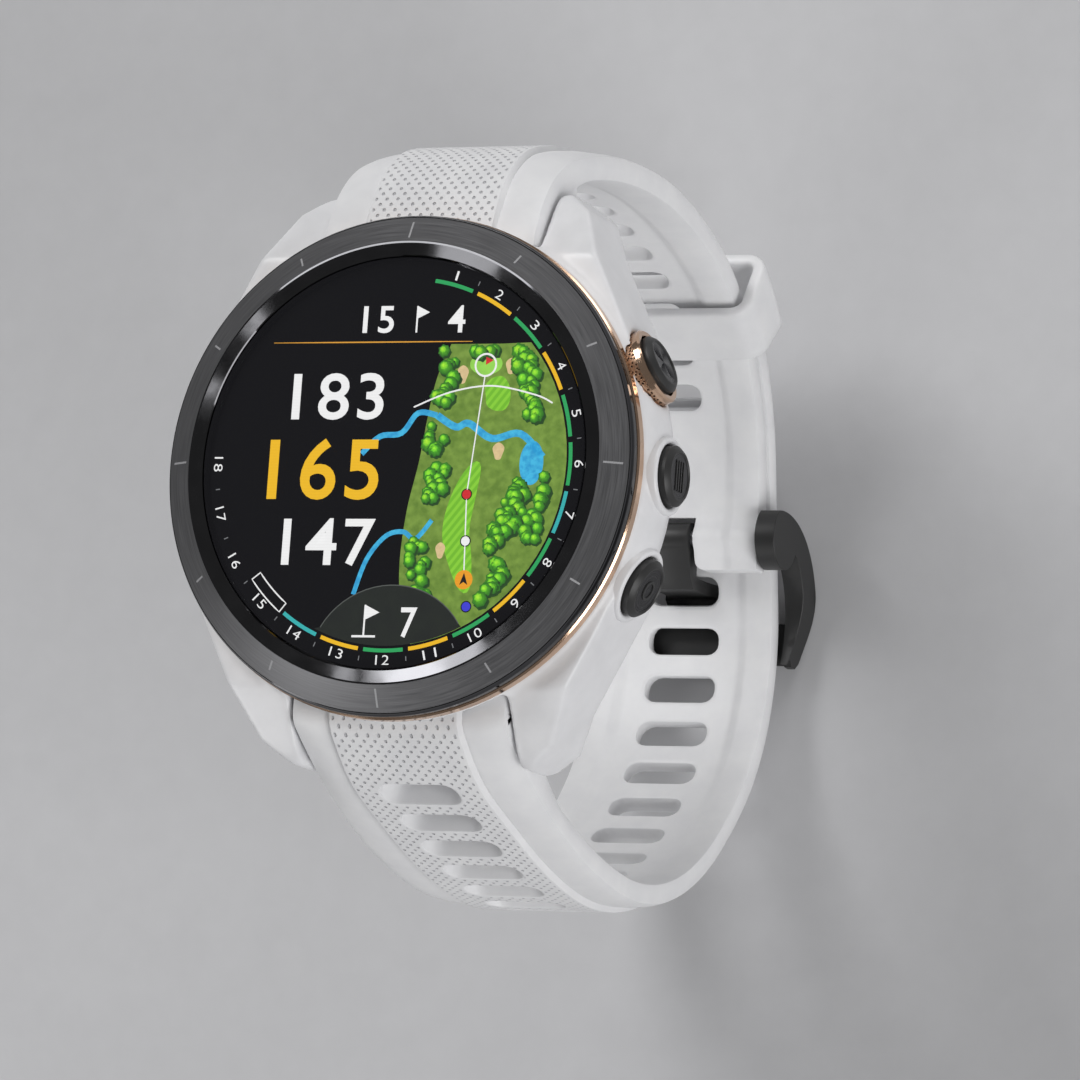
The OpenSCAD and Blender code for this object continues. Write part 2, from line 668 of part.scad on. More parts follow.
module spring_bar() color(steel) translate([0, bar_y, bar_z]) difference() {
    rotate([0, 90, 0]) union() {
        translate([0, 0, -strap_w / 2 + 0.1]) cylinder(r = bar_r, h = strap_w - 0.2);
        translate([0, 0, -tip_out]) cylinder(r = tip_r, h = tip_out);
    }
    translate([bar_plug_x, 0, 0]) rotate([0, 90, 0]) cylinder(r = bar_bore, h = strap_w);
    translate([knob_x - release_travel - knob_r - 0.1, -knob_r - run_gap, -bar_r - 1])
        cube([release_travel + 2 * knob_r + 0.2, 2 * (knob_r + run_gap), bar_r + 1]);
}

module release_pin() color(steel) translate([0, bar_y, bar_z]) {
    translate([shank_in, 0, 0]) rotate([0, 90, 0]) cylinder(r = shank_r, h = strap_w / 2 - 0.1 - shank_in);
    translate([shank_in, 0, 0]) rotate([0, 90, 0]) cylinder(r = tip_r, h = tip_out - shank_in);
    translate([knob_x, 0, -knob_l]) cylinder(r = knob_r - 0.1, h = knob_l);
}

module release_spring() color(steel)
    translate([bar_plug_x, bar_y, bar_z]) rotate([0, 90, 0]) coil(0.42, 0.1, shank_in - bar_plug_x, 5);

module buckle_pin() color(steel)
    translate([-arm_in - arm_w + 0.7, pin_p[0], pin_p[1]]) rotate([0, 90, 0])
        cylinder(r = pin_r, h = 2 * (arm_in + arm_w - 0.7));

// side view of the buckle frame: a round head at the pin and a curved arm to the far bar
module arm_side() {
    outer = [for (a = [8:-6:frame_end_angle]) frame_c + frame_r * heading_v(a)];
    inner = [for (a = [frame_end_angle + 2:6:2]) frame_in_c + frame_in_r * heading_v(a)];
    polygon(concat(outer, inner));
    translate(pin_p) circle(r = head_r);
}

module buckle_frame() color(dark) difference() {
    union() {
        for (s = [0, 1]) mirror([s, 0, 0]) translate([arm_in + arm_w / 2, 0, 0]) along_x(arm_w) arm_side();
        along_x(2 * arm_in + 0.2) intersection() {
            arm_side();
            translate([bar_start - strap_w, bar_top - frame_r]) square([strap_w, frame_r]);
        }
    }
    for (s = [0, 1]) mirror([s, 0, 0]) translate([arm_in - 0.1, pin_p[0], pin_p[1]]) rotate([0, 90, 0])
        cylinder(r = pin_r + run_gap, h = arm_w - 0.5);
    // recess that the tongue's foot lies in
    translate([-foot_w - 0.4, tongue_y - foot_l - 0.4, foot_z - 2])
        cube([2 * foot_w + 0.8, foot_l, tongue_t + foot_gap + 2]);
}

// side view of the tongue: a barrel on the pin, a stem down through the slot and a foot under the bar
module tongue_side() {
    stem_y = tongue_y + tongue_t / 2;
    back_y = tongue_y - tongue_t / 2;
    tip_y = tongue_y - foot_l + tongue_t;
    difference() {
        union() {
            translate(pin_p) circle(r = tongue_barrel_r);
            polygon([[pin_p[0], pin_p[1] - tongue_barrel_r + 0.1], [stem_y, pin_p[1] - 1.6],
                [stem_y, foot_z + 0.5], [stem_y - 0.5, foot_z], [tip_y, foot_z],
                [tip_y, foot_z + tongue_t - 0.2],
                [back_y - 0.6, foot_z + tongue_t], [back_y, foot_z + tongue_t + 0.6], [back_y, pin_p[1] - 1],
                [back_y + 0.8, pin_p[1] - 0.2], [pin_p[0] - 1, pin_p[1] + 0.3]]);
        }
        translate(pin_p) circle(r = pin_r + run_gap);
    }
}

module buckle_tongue() color(dark) {
    along_x(2 * stem_w) tongue_side();
    for (s = [0, 1]) mirror([s, 0, 0]) translate([(foot_w + stem_w) / 2 - eps, 0, 0])
        along_x(foot_w - stem_w + eps) intersection() {
            tongue_side();
            translate([-strap_span, foot_z - 1]) square([2 * strap_span, foot_rise + 1]);
        }
}

module keeper() color(white)
    translate([0, wrap_c[0], wrap_c[1]]) rotate([keeper_heading - 90 - keeper_sweep / 2, 0, 0])
        rotate([90, 0, 90]) rotate_extrude(angle = keeper_sweep) difference() {
            x = keeper_x + keeper_wall;
            r_in = keeper_in_r - keeper_wall;
            r_out = keeper_out_r + keeper_wall;
            polygon([[r_in, -x + 0.8], [r_in + 0.8, -x], [r_out - keeper_chamfer, -x],
                [r_out, -x + keeper_chamfer], [r_out, x - keeper_chamfer], [r_out - keeper_chamfer, x],
                [r_in + 0.8, x], [r_in, x - 0.8]]);
            translate([keeper_in_r, -keeper_x]) square([keeper_out_r - keeper_in_r, 2 * keeper_x]);
        }

glass_lens();
bezel_ring();
lens_gasket();
trim_ring();
case_body();
case_back();
back_gasket();
back_screws();
sensor_window();
sensor_board();
sensor_leds();
charge_port();
charge_pins();
display_panel();
chassis();
main_board();
antenna_ring();
battery();
vibration_motor();
button_switches();
button_seals();
textured_collar();
button(button_angle);  // button_upper
button(0);  // button_middle
button(-button_angle);  // button_lower
clip(button_angle);  // clip_upper
clip(0);  // clip_middle
clip(-button_angle);  // clip_lower
button_spring(button_angle);  // button_spring_upper
button_spring(0);  // button_spring_middle
button_spring(-button_angle);  // button_spring_lower
upper_strap();
lower_strap();
spring_bar();  // spring_bar_upper
mirror([0, 1, 0]) spring_bar();  // spring_bar_lower
release_pin();  // release_pin_upper
mirror([0, 1, 0]) release_pin();  // release_pin_lower
release_spring();  // release_spring_upper
mirror([0, 1, 0]) release_spring();  // release_spring_lower
buckle_pin();
buckle_frame();
buckle_tongue();
keeper();
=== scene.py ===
"""Looks of a golf GPS watch: round head, three side buttons, buckled silicone strap.

Lengths are in millimetres until a mesh is written, which turns them into metres.
"""

import json
import logging
import math
import random
from dataclasses import dataclass, field
from enum import Enum
from typing import Callable, Iterable, Sequence

import bmesh
import bpy
from mathutils import Matrix, Vector

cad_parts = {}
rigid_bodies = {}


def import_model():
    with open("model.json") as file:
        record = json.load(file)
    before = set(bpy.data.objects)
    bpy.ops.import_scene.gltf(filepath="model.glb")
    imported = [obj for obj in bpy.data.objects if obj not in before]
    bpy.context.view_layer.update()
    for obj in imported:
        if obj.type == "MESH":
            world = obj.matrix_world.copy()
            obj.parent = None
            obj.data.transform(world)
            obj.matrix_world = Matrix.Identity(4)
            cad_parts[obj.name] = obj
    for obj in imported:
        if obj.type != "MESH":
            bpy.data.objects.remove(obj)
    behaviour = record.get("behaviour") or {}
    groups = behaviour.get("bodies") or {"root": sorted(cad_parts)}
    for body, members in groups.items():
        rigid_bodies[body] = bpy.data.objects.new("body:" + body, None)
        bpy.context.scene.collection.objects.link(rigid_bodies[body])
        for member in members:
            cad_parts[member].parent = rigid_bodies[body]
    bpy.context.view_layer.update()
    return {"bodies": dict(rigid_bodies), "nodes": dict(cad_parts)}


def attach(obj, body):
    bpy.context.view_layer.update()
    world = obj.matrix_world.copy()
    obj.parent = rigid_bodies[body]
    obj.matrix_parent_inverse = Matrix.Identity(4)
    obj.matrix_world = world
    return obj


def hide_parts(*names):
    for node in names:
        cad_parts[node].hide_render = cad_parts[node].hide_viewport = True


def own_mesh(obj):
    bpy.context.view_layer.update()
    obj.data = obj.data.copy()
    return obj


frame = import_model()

LOG = logging.getLogger("watch")
MM = 0.001
FLOW = "Flow"
LIP_ROUNDING = 0.16
BLACK_SURFACE = (0.004, 0.004, 0.005, 1)

Pair = tuple[float, float]
Triple = tuple[float, float, float]


def shade(red: float, green: float, blue: float) -> tuple[float, float, float, float]:
    """Turns a display colour with parts from 0 to 255 into a linear colour."""
    parts = [c / 255 for c in (red, green, blue)]
    linear = [c / 12.92 if c <= 0.04045 else ((c + 0.055) / 1.055) ** 2.4 for c in parts]
    return (linear[0], linear[1], linear[2], 1.0)


def ease(value: float, low: float, high: float) -> float:
    """Smooth step from 0 at low to 1 at high."""
    share = min(1.0, max(0.0, (value - low) / (high - low)))
    return share * share * (3 - 2 * share)


def around(radius: float, degrees: float) -> Pair:
    """Point on a circle, in degrees clockwise from 12 o'clock."""
    turn = math.radians(degrees)
    return radius * math.sin(turn), radius * math.cos(turn)


# ---------------------------------------------------------------- finishes


class NodeSheet:
    """One material's nodes: a Principled shader and what feeds it."""

    def __init__(self, name: str) -> None:
        """Starts an empty material with a shader and an output.

        Args:
            name: name of the material.
        """
        self.material = bpy.data.materials.new(name)
        self.material.use_nodes = True
        self.tree = self.material.node_tree
        self.tree.nodes.clear()
        self.shader = self.add("ShaderNodeBsdfPrincipled")
        out = self.add("ShaderNodeOutputMaterial")
        self.join(self.shader, "BSDF", out, "Surface")

    def add(self, kind: str, props: dict | None = None, **sockets: object) -> bpy.types.Node:
        """Adds a node.

        Args:
            kind: node type.
            props: attributes of the node.
            **sockets: input values, with _ for a space in the socket's name.

        Returns:
            The new node.
        """
        node = self.tree.nodes.new(kind)
        for key, value in (props or {}).items():
            setattr(node, key, value)
        for key, value in sockets.items():
            node.inputs[key.replace("_", " ")].default_value = value
        return node

    def join(self, source: bpy.types.Node, output: str | int, target: bpy.types.Node, socket: str | int) -> None:
        """Links an output to an input."""
        self.tree.links.new(source.outputs[output], target.inputs[socket])

    def set(self, **sockets: object) -> None:
        """Sets plain values on the shader's own sockets."""
        for key, value in sockets.items():
            self.shader.inputs[key.replace("_", " ")].default_value = value

    def place(self, scale: Triple, turn: float = 0.0, on_map: bool = False) -> bpy.types.Node:
        """Coordinates in millimetres, scaled.

        Args:
            scale: repeats for each millimetre along each axis.
            turn: turn about Z in degrees.
            on_map: whether the piece's own map is used, or object coordinates.

        Returns:
            A Mapping node.
        """
        if on_map:
            source = self.add("ShaderNodeUVMap", {"uv_map": FLOW})
            output, factor = "UV", 1.0
        else:
            source = self.add("ShaderNodeTexCoord")
            output, factor = "Object", 1 / MM
        mapping = self.add("ShaderNodeMapping")
        mapping.inputs["Scale"].default_value = [part * factor for part in scale]
        mapping.inputs["Rotation"].default_value = (0, 0, math.radians(turn))
        self.join(source, output, mapping, "Vector")
        return mapping

    def noise(self, mapping: bpy.types.Node, detail: float = 3.0) -> bpy.types.Node:
        """Noise over placed coordinates."""
        node = self.add("ShaderNodeTexNoise", None, Scale=1.0, Detail=detail, Roughness=0.55)
        self.join(mapping, "Vector", node, "Vector")
        return node

    def ramp(self, source: bpy.types.Node, output: str | int, stops: Sequence[tuple[float, tuple]]) -> bpy.types.Node:
        """Colour ramp fed by an output.

        Args:
            source: node that drives the ramp.
            output: its output.
            stops: positions and colours.

        Returns:
            The ramp.
        """
        node = self.add("ShaderNodeValToRGB")
        elements = node.color_ramp.elements
        for index, (position, colour) in enumerate(stops):
            element = elements[index] if index < 2 else elements.new(position)
            element.position = position
            element.color = colour
        self.join(source, output, node, 0)
        return node

    def spread(self, source: bpy.types.Node, output: str | int, low: float, high: float, *, start: float = 0.0,
               end: float = 1.0) -> bpy.types.Node:
        """Maps an output from start..end to low..high."""
        node = self.add("ShaderNodeMapRange", {"interpolation_type": "SMOOTHSTEP"}, From_Min=start, From_Max=end,
                        To_Min=low, To_Max=high)
        self.join(source, output, node, 0)
        return node

    def cells(self, mapping: bpy.types.Node, randomness: float) -> bpy.types.Node:
        """Flat cells over placed coordinates."""
        node = self.add("ShaderNodeTexVoronoi", {"voronoi_dimensions": "2D"}, Scale=1.0, Randomness=randomness)
        self.join(mapping, "Vector", node, "Vector")
        return node

    def waves(self, mapping: bpy.types.Node, direction: str) -> bpy.types.Node:
        """Even bands across one axis of placed coordinates."""
        node = self.add("ShaderNodeTexWave", {"bands_direction": direction}, Scale=1.0, Distortion=0.0)
        self.join(mapping, "Vector", node, "Vector")
        return node

    def multiply(self, first: bpy.types.Node, output: str | int, second: bpy.types.Node, socket: str) -> None:
        """Feeds a socket of the shader with an output times a ramp's colour."""
        mix = self.add("ShaderNodeMixRGB", {"blend_type": "MULTIPLY"}, Fac=1.0)
        self.join(first, output, mix, "Color1")
        self.join(second, 0, mix, "Color2")
        self.join(mix, 0, self.shader, socket)

    def glow(self, strength: float) -> None:
        """Makes a black surface that gives light."""
        self.set(Base_Color=BLACK_SURFACE, Roughness=0.5, Emission_Strength=strength)

    def bump(self, source: bpy.types.Node, output: str | int, depth: float,
             under: bpy.types.Node | None = None) -> bpy.types.Node:
        """Bump of a depth in millimetres, stacked on another one if there is one."""
        node = self.add("ShaderNodeBump", None, Strength=1.0, Distance=depth * MM)
        self.join(source, output, node, "Height")
        if under:
            self.join(under, "Normal", node, "Normal")
        self.join(node, "Normal", self.shader, "Normal")
        return node


@dataclass(frozen=True)
class Finish:
    """A finish that makes its material once."""

    name: str

    def material(self) -> bpy.types.Material:
        """The finish's material, made on first use."""
        made = bpy.data.materials.get(self.name)
        if made:
            return made
        sheet = NodeSheet(self.name)
        self.paint(sheet)
        return sheet.material

    def paint(self, sheet: NodeSheet) -> None:
        """Fills the sheet."""
        raise NotImplementedError


@dataclass(frozen=True)
class Moulded(Finish):
    """Moulded plastic or rubber: two close tones, fine grain and uneven gloss."""

    low: tuple = shade(226, 226, 228)
    high: tuple = shade(233, 233, 234)
    rough: Pair = (0.42, 0.5)
    grain: float = 0.12
    grain_depth: float = 0.004
    specular: float = 0.45
    dent_pitch: float = 0.0
    dent_depth: float = 0.16

    def paint(self, sheet: NodeSheet) -> None:
        """Tone and gloss from a broad noise, grain and dents as bumps, with painted shade darkening the dents."""
        broad = sheet.noise(sheet.place((0.35, 0.35, 0.35)))
        tone = sheet.ramp(broad, 0, [(0.3, self.low), (0.7, self.high)])
        gloss = sheet.spread(broad, 0, *self.rough, start=0.3, end=0.7)
        fine = sheet.noise(sheet.place((1 / self.grain,) * 3), 2.0)
        grain = sheet.bump(fine, 0, self.grain_depth) if self.grain_depth else None
        sheet.join(gloss, 0, sheet.shader, "Roughness")
        sheet.set(Specular_IOR_Level=self.specular)
        if not self.dent_pitch:
            sheet.join(tone, 0, sheet.shader, "Base Color")
            return
        step = math.sqrt(2) / self.dent_pitch
        cells = sheet.cells(sheet.place((step, step * 0.94, 1), 45, True), 0.0)
        floor = sheet.spread(cells, "Distance", 0.0, 1.0, start=0.08, end=0.24)
        sheet.bump(floor, 0, self.dent_depth, grain)
        # painted shade: the base colour is darkened toward the middle of each dent
        shadow = sheet.ramp(floor, 0, [(0.0, shade(210, 211, 214)), (0.9, shade(255, 255, 255))])
        sheet.multiply(tone, 0, shadow, "Base Color")


class Grain(Enum):
    """Which way a metal is worked."""

    POLISHED = "polished"
    BRUSHED = "brushed"
    BLASTED = "blasted"


@dataclass(frozen=True)
class Metal(Finish):
    """Metal with two close tones and the marks of how it was worked."""

    low: tuple = shade(84, 84, 86)
    high: tuple = shade(104, 104, 106)
    rough: Pair = (0.28, 0.38)
    grain: Grain = Grain.BLASTED
    coat: float = 0.0
    metallic: float = 1.0
    pitted: bool = False

    def paint(self, sheet: NodeSheet) -> None:
        """Streaks along the map for a brushed metal, fine grain for the others, and pits as bumps darkened with painted
        shade.
        """
        brushed = self.grain is Grain.BRUSHED
        if brushed:
            source = sheet.noise(sheet.place((0.22, 8.0, 1.0), 0, True), 4.0)
            depth = 0.0007
            tangent = sheet.add("ShaderNodeTangent", {"direction_type": "UV_MAP", "uv_map": FLOW})
            sheet.join(tangent, 0, sheet.shader, "Tangent")
            sheet.set(Anisotropic=0.55)
        else:
            scale = 14.0 if self.grain is Grain.BLASTED else 0.3
            source = sheet.noise(sheet.place((scale,) * 3), 3.0)
            depth = 0.003 if self.grain is Grain.BLASTED else 0.0
        tone = sheet.ramp(source, 0, [(0.32, self.low), (0.68, self.high)])
        gloss = sheet.spread(source, 0, *self.rough, start=0.3, end=0.7)
        bump = sheet.bump(source, 0, depth) if depth else None
        sheet.join(gloss, 0, sheet.shader, "Roughness")
        sheet.set(Metallic=self.metallic, Coat_Weight=self.coat, Coat_Roughness=0.12)
        if not self.pitted:
            sheet.join(tone, 0, sheet.shader, "Base Color")
            return
        cells = sheet.cells(sheet.place((2.9, 2.9, 1), 20, True), 0.8)
        pits = sheet.spread(cells, "Distance", 0.0, 1.0, start=0.16, end=0.36)
        sheet.bump(pits, 0, 0.14, bump)
        # painted shade: the base colour is darkened inside each pit
        dark = sheet.ramp(pits, 0, [(0.0, shade(72, 52, 42)), (0.8, shade(255, 255, 255))])
        sheet.multiply(tone, 0, dark, "Base Color")


@dataclass(frozen=True)
class Lit(Finish):
    """A lit area of the display: a colour with a fine cell grid and, on turf, stripes or speckle."""

    colour: tuple = shade(250, 250, 250)
    second: tuple | None = None
    strength: float = 2.3
    stripe: float = 0.0
    speckle: float = 0.0

    def paint(self, sheet: NodeSheet) -> None:
        """Emission from a two-tone pattern, over a black surface."""
        second = self.second or tuple(0.86 * c for c in self.colour[:3]) + (1.0,)
        if self.stripe:
            source = sheet.waves(sheet.place((0.314 / self.stripe,) * 3, 38), "X")
            window = (0.42, 0.58)
        elif self.speckle:
            source = sheet.noise(sheet.place((1 / self.speckle,) * 3), 5.0)
            window = (0.36, 0.64)
        else:
            source = sheet.waves(sheet.place((2.4, 2.4, 2.4)), "Y")
            window = (0.0, 1.0)
        tone = sheet.ramp(source, 1 if self.speckle == 0 else 0, [(window[0], second), (window[1], self.colour)])
        sheet.join(tone, 0, sheet.shader, "Emission Color")
        sheet.glow(self.strength)


@dataclass(frozen=True)
class Tinted(Finish):
    """Lit pieces whose colour comes from the mesh's own tint."""

    strength: float = 2.9

    def paint(self, sheet: NodeSheet) -> None:
        """Emission from the Tint attribute with a speckle over it."""
        tint = sheet.add("ShaderNodeAttribute", {"attribute_name": "Tint"})
        speck = sheet.ramp(sheet.noise(sheet.place((7, 7, 7))), 0, [(0.3, shade(215, 215, 215)), (0.7, shade(255, 255,
                                                                                                             255))])
        sheet.multiply(tint, "Color", speck, "Emission Color")
        sheet.glow(self.strength)


@dataclass(frozen=True)
class Clear(Finish):
    """Clear cover glass."""

    tint: tuple = (1.0, 1.0, 1.0, 1.0)
    ior: float = 1.5

    def paint(self, sheet: NodeSheet) -> None:
        """Transmission with a very slight unevenness of gloss."""
        source = sheet.noise(sheet.place((0.2, 0.2, 0.2)))
        gloss = sheet.spread(source, 0, 0.0, 0.03)
        sheet.join(gloss, 0, sheet.shader, "Roughness")
        tone = sheet.ramp(source, 0, [(0.0, self.tint), (1.0, tuple(0.985 * c for c in self.tint[:3]) + (1.0,))])
        sheet.join(tone, 0, sheet.shader, "Base Color")
        sheet.set(Transmission_Weight=1.0, IOR=self.ior)


WHITE = Moulded("white_silicone")
DIMPLED = Moulded("white_silicone_dimpled", dent_pitch=1.02)
SHELL = Moulded("white_case_polymer", low=shade(222, 222, 224), high=shade(230, 230, 232), rough=(0.3, 0.36),
                grain=0.2, grain_depth=0.002, specular=0.5)
DARK_RUBBER = Moulded("dark_rubber", low=shade(28, 28, 30), high=shade(40, 40, 42), rough=(0.55, 0.7))
DARK_PLASTIC = Moulded("dark_plastic", low=shade(36, 36, 39), high=shade(50, 50, 53), rough=(0.4, 0.5))
BOARD = Moulded("green_board", low=shade(18, 70, 42), high=shade(26, 92, 56), rough=(0.35, 0.5))
WRAP = Moulded("battery_wrap", low=shade(150, 152, 160), high=shade(172, 174, 180), rough=(0.3, 0.45))
BRUSHED = Metal("brushed_graphite", low=shade(104, 104, 106), high=shade(122, 122, 124), rough=(0.3, 0.4),
                grain=Grain.BRUSHED, metallic=0.75)
POLISHED = Metal("polished_graphite", low=shade(74, 74, 76), high=shade(80, 80, 82), rough=(0.03, 0.07),
                 grain=Grain.POLISHED)
MARK = Metal("light_mark", low=shade(150, 150, 152), high=shade(166, 166, 168), rough=(0.4, 0.5), metallic=0.2)
ROSE = Metal("rose_gold", low=shade(206, 172, 146), high=shade(226, 194, 168), rough=(0.1, 0.16),
             grain=Grain.POLISHED)
ROSE_PITTED = Metal("rose_gold_pitted", low=shade(196, 160, 132), high=shade(220, 184, 156), rough=(0.2, 0.32),
                    grain=Grain.POLISHED, pitted=True)
BLACK_METAL = Metal("black_metal", low=shade(24, 24, 26), high=shade(33, 33, 35), rough=(0.24, 0.32),
                    grain=Grain.BLASTED, coat=0.35)
BLACK_SPUN = Metal("black_spun_metal", low=shade(46, 46, 48), high=shade(70, 70, 72), rough=(0.22, 0.3),
                   grain=Grain.BRUSHED)
STEEL = Metal("plain_steel", low=shade(168, 168, 172), high=shade(190, 190, 194), rough=(0.22, 0.32))
CONTACT = Metal("contact_gold", low=shade(206, 170, 96), high=shade(226, 190, 110), rough=(0.2, 0.3))
BACK = Moulded("dark_case_back", low=shade(44, 44, 47), high=shade(54, 54, 57), rough=(0.38, 0.46))
SENSOR = Moulded("dark_sensor_glass", low=shade(10, 10, 13), high=shade(18, 18, 22), rough=(0.06, 0.1),
                 grain_depth=0.0)
INK = Moulded("black_glass_print", low=shade(4, 4, 5), high=shade(6, 6, 7), rough=(0.5, 0.6), grain_depth=0.0,
              specular=0.0)
GREEN_LAMP = Moulded("sensor_lamp", low=shade(60, 160, 96), high=shade(80, 190, 110), rough=(0.3, 0.4))
GLASS = Clear("cover_glass")
FLOOR = Moulded("studio_floor", low=shade(190, 190, 192), high=shade(193, 193, 195), rough=(0.8, 0.86), grain=3.0,
                grain_depth=0.0)

NODE_FINISHES: dict[str, tuple[Finish, str]] = {
    "lens_gasket": (DARK_RUBBER, "seal_rubber"), "back_gasket": (DARK_RUBBER, "seal_rubber"),
    "button_seals": (DARK_RUBBER, "seal_rubber"), "case_body": (SHELL, "case_white"), "case_back": (BACK, "back_cover"),
    "back_screws": (STEEL, "steel"), "sensor_window": (SENSOR, "sensor_glass"), "sensor_board": (BOARD,
                                                                                                 "circuit_board"),
    "sensor_leds": (GREEN_LAMP, "led_green"), "charge_port": (DARK_PLASTIC, "inner_plastic"),
    "charge_pins": (CONTACT, "contact_gold"), "display_panel": (INK, "display_black"),
    "chassis": (DARK_PLASTIC, "inner_plastic"), "main_board": (BOARD, "circuit_board"),
    "antenna_ring": (CONTACT, "contact_gold"), "battery": (WRAP, "battery_wrap"), "vibration_motor": (STEEL, "steel"),
    "button_switches": (STEEL, "steel"), "clip_upper": (STEEL, "steel"), "clip_middle": (STEEL, "steel"),
    "clip_lower": (STEEL, "steel"), "button_spring_upper": (STEEL, "steel"), "button_spring_middle": (STEEL, "steel"),
    "button_spring_lower": (STEEL, "steel"), "spring_bar_upper": (STEEL, "steel"), "spring_bar_lower": (STEEL, "steel"),
    "release_pin_upper": (STEEL, "steel"), "release_pin_lower": (STEEL, "steel"),
    "release_spring_upper": (STEEL, "steel"), "release_spring_lower": (STEEL, "steel"),
    "buckle_pin": (STEEL, "steel"), "trim_ring": (ROSE, "rose_trim"),
}
SOFT_EDGES = {"case_back": 0.15, "charge_port": 0.1}
MOULDED_SOFT = {"case_body": (0.25, 13)}
SOFT_CREASE = 46
PLAIN_CREASE = 30


def dress_node(name: str, finish: Finish) -> None:
    """Gives a carried-over node its finish in every material slot."""
    node = frame["nodes"][name]
    node.data.materials.clear()
    node.data.materials.append(finish.material())
    for face in node.data.polygons:
        face.material_index = 0
        face.use_smooth = True
    crease = math.radians(SOFT_CREASE if name in SOFT_EDGES else PLAIN_CREASE)
    node.data.set_sharp_from_angle(angle=crease)
    if name in SOFT_EDGES:
        soft = node.modifiers.new("Soft edges", "BEVEL")
        soft.width, soft.segments, soft.limit_method = SOFT_EDGES[name] * MM, 2, "ANGLE"
        soft.angle_limit, soft.harden_normals = crease, True
    if name in MOULDED_SOFT:
        cell, rounds = MOULDED_SOFT[name]
        shell = node.modifiers.new("Even mesh", "REMESH")
        shell.mode, shell.voxel_size, shell.use_smooth_shade = "VOXEL", cell * MM, True
        soft = node.modifiers.new("Moulded edges", "SMOOTH")
        soft.factor, soft.iterations = 0.5, rounds
    LOG.info("dressed %s with %s", name, finish.name)


# ---------------------------------------------------------------- meshes


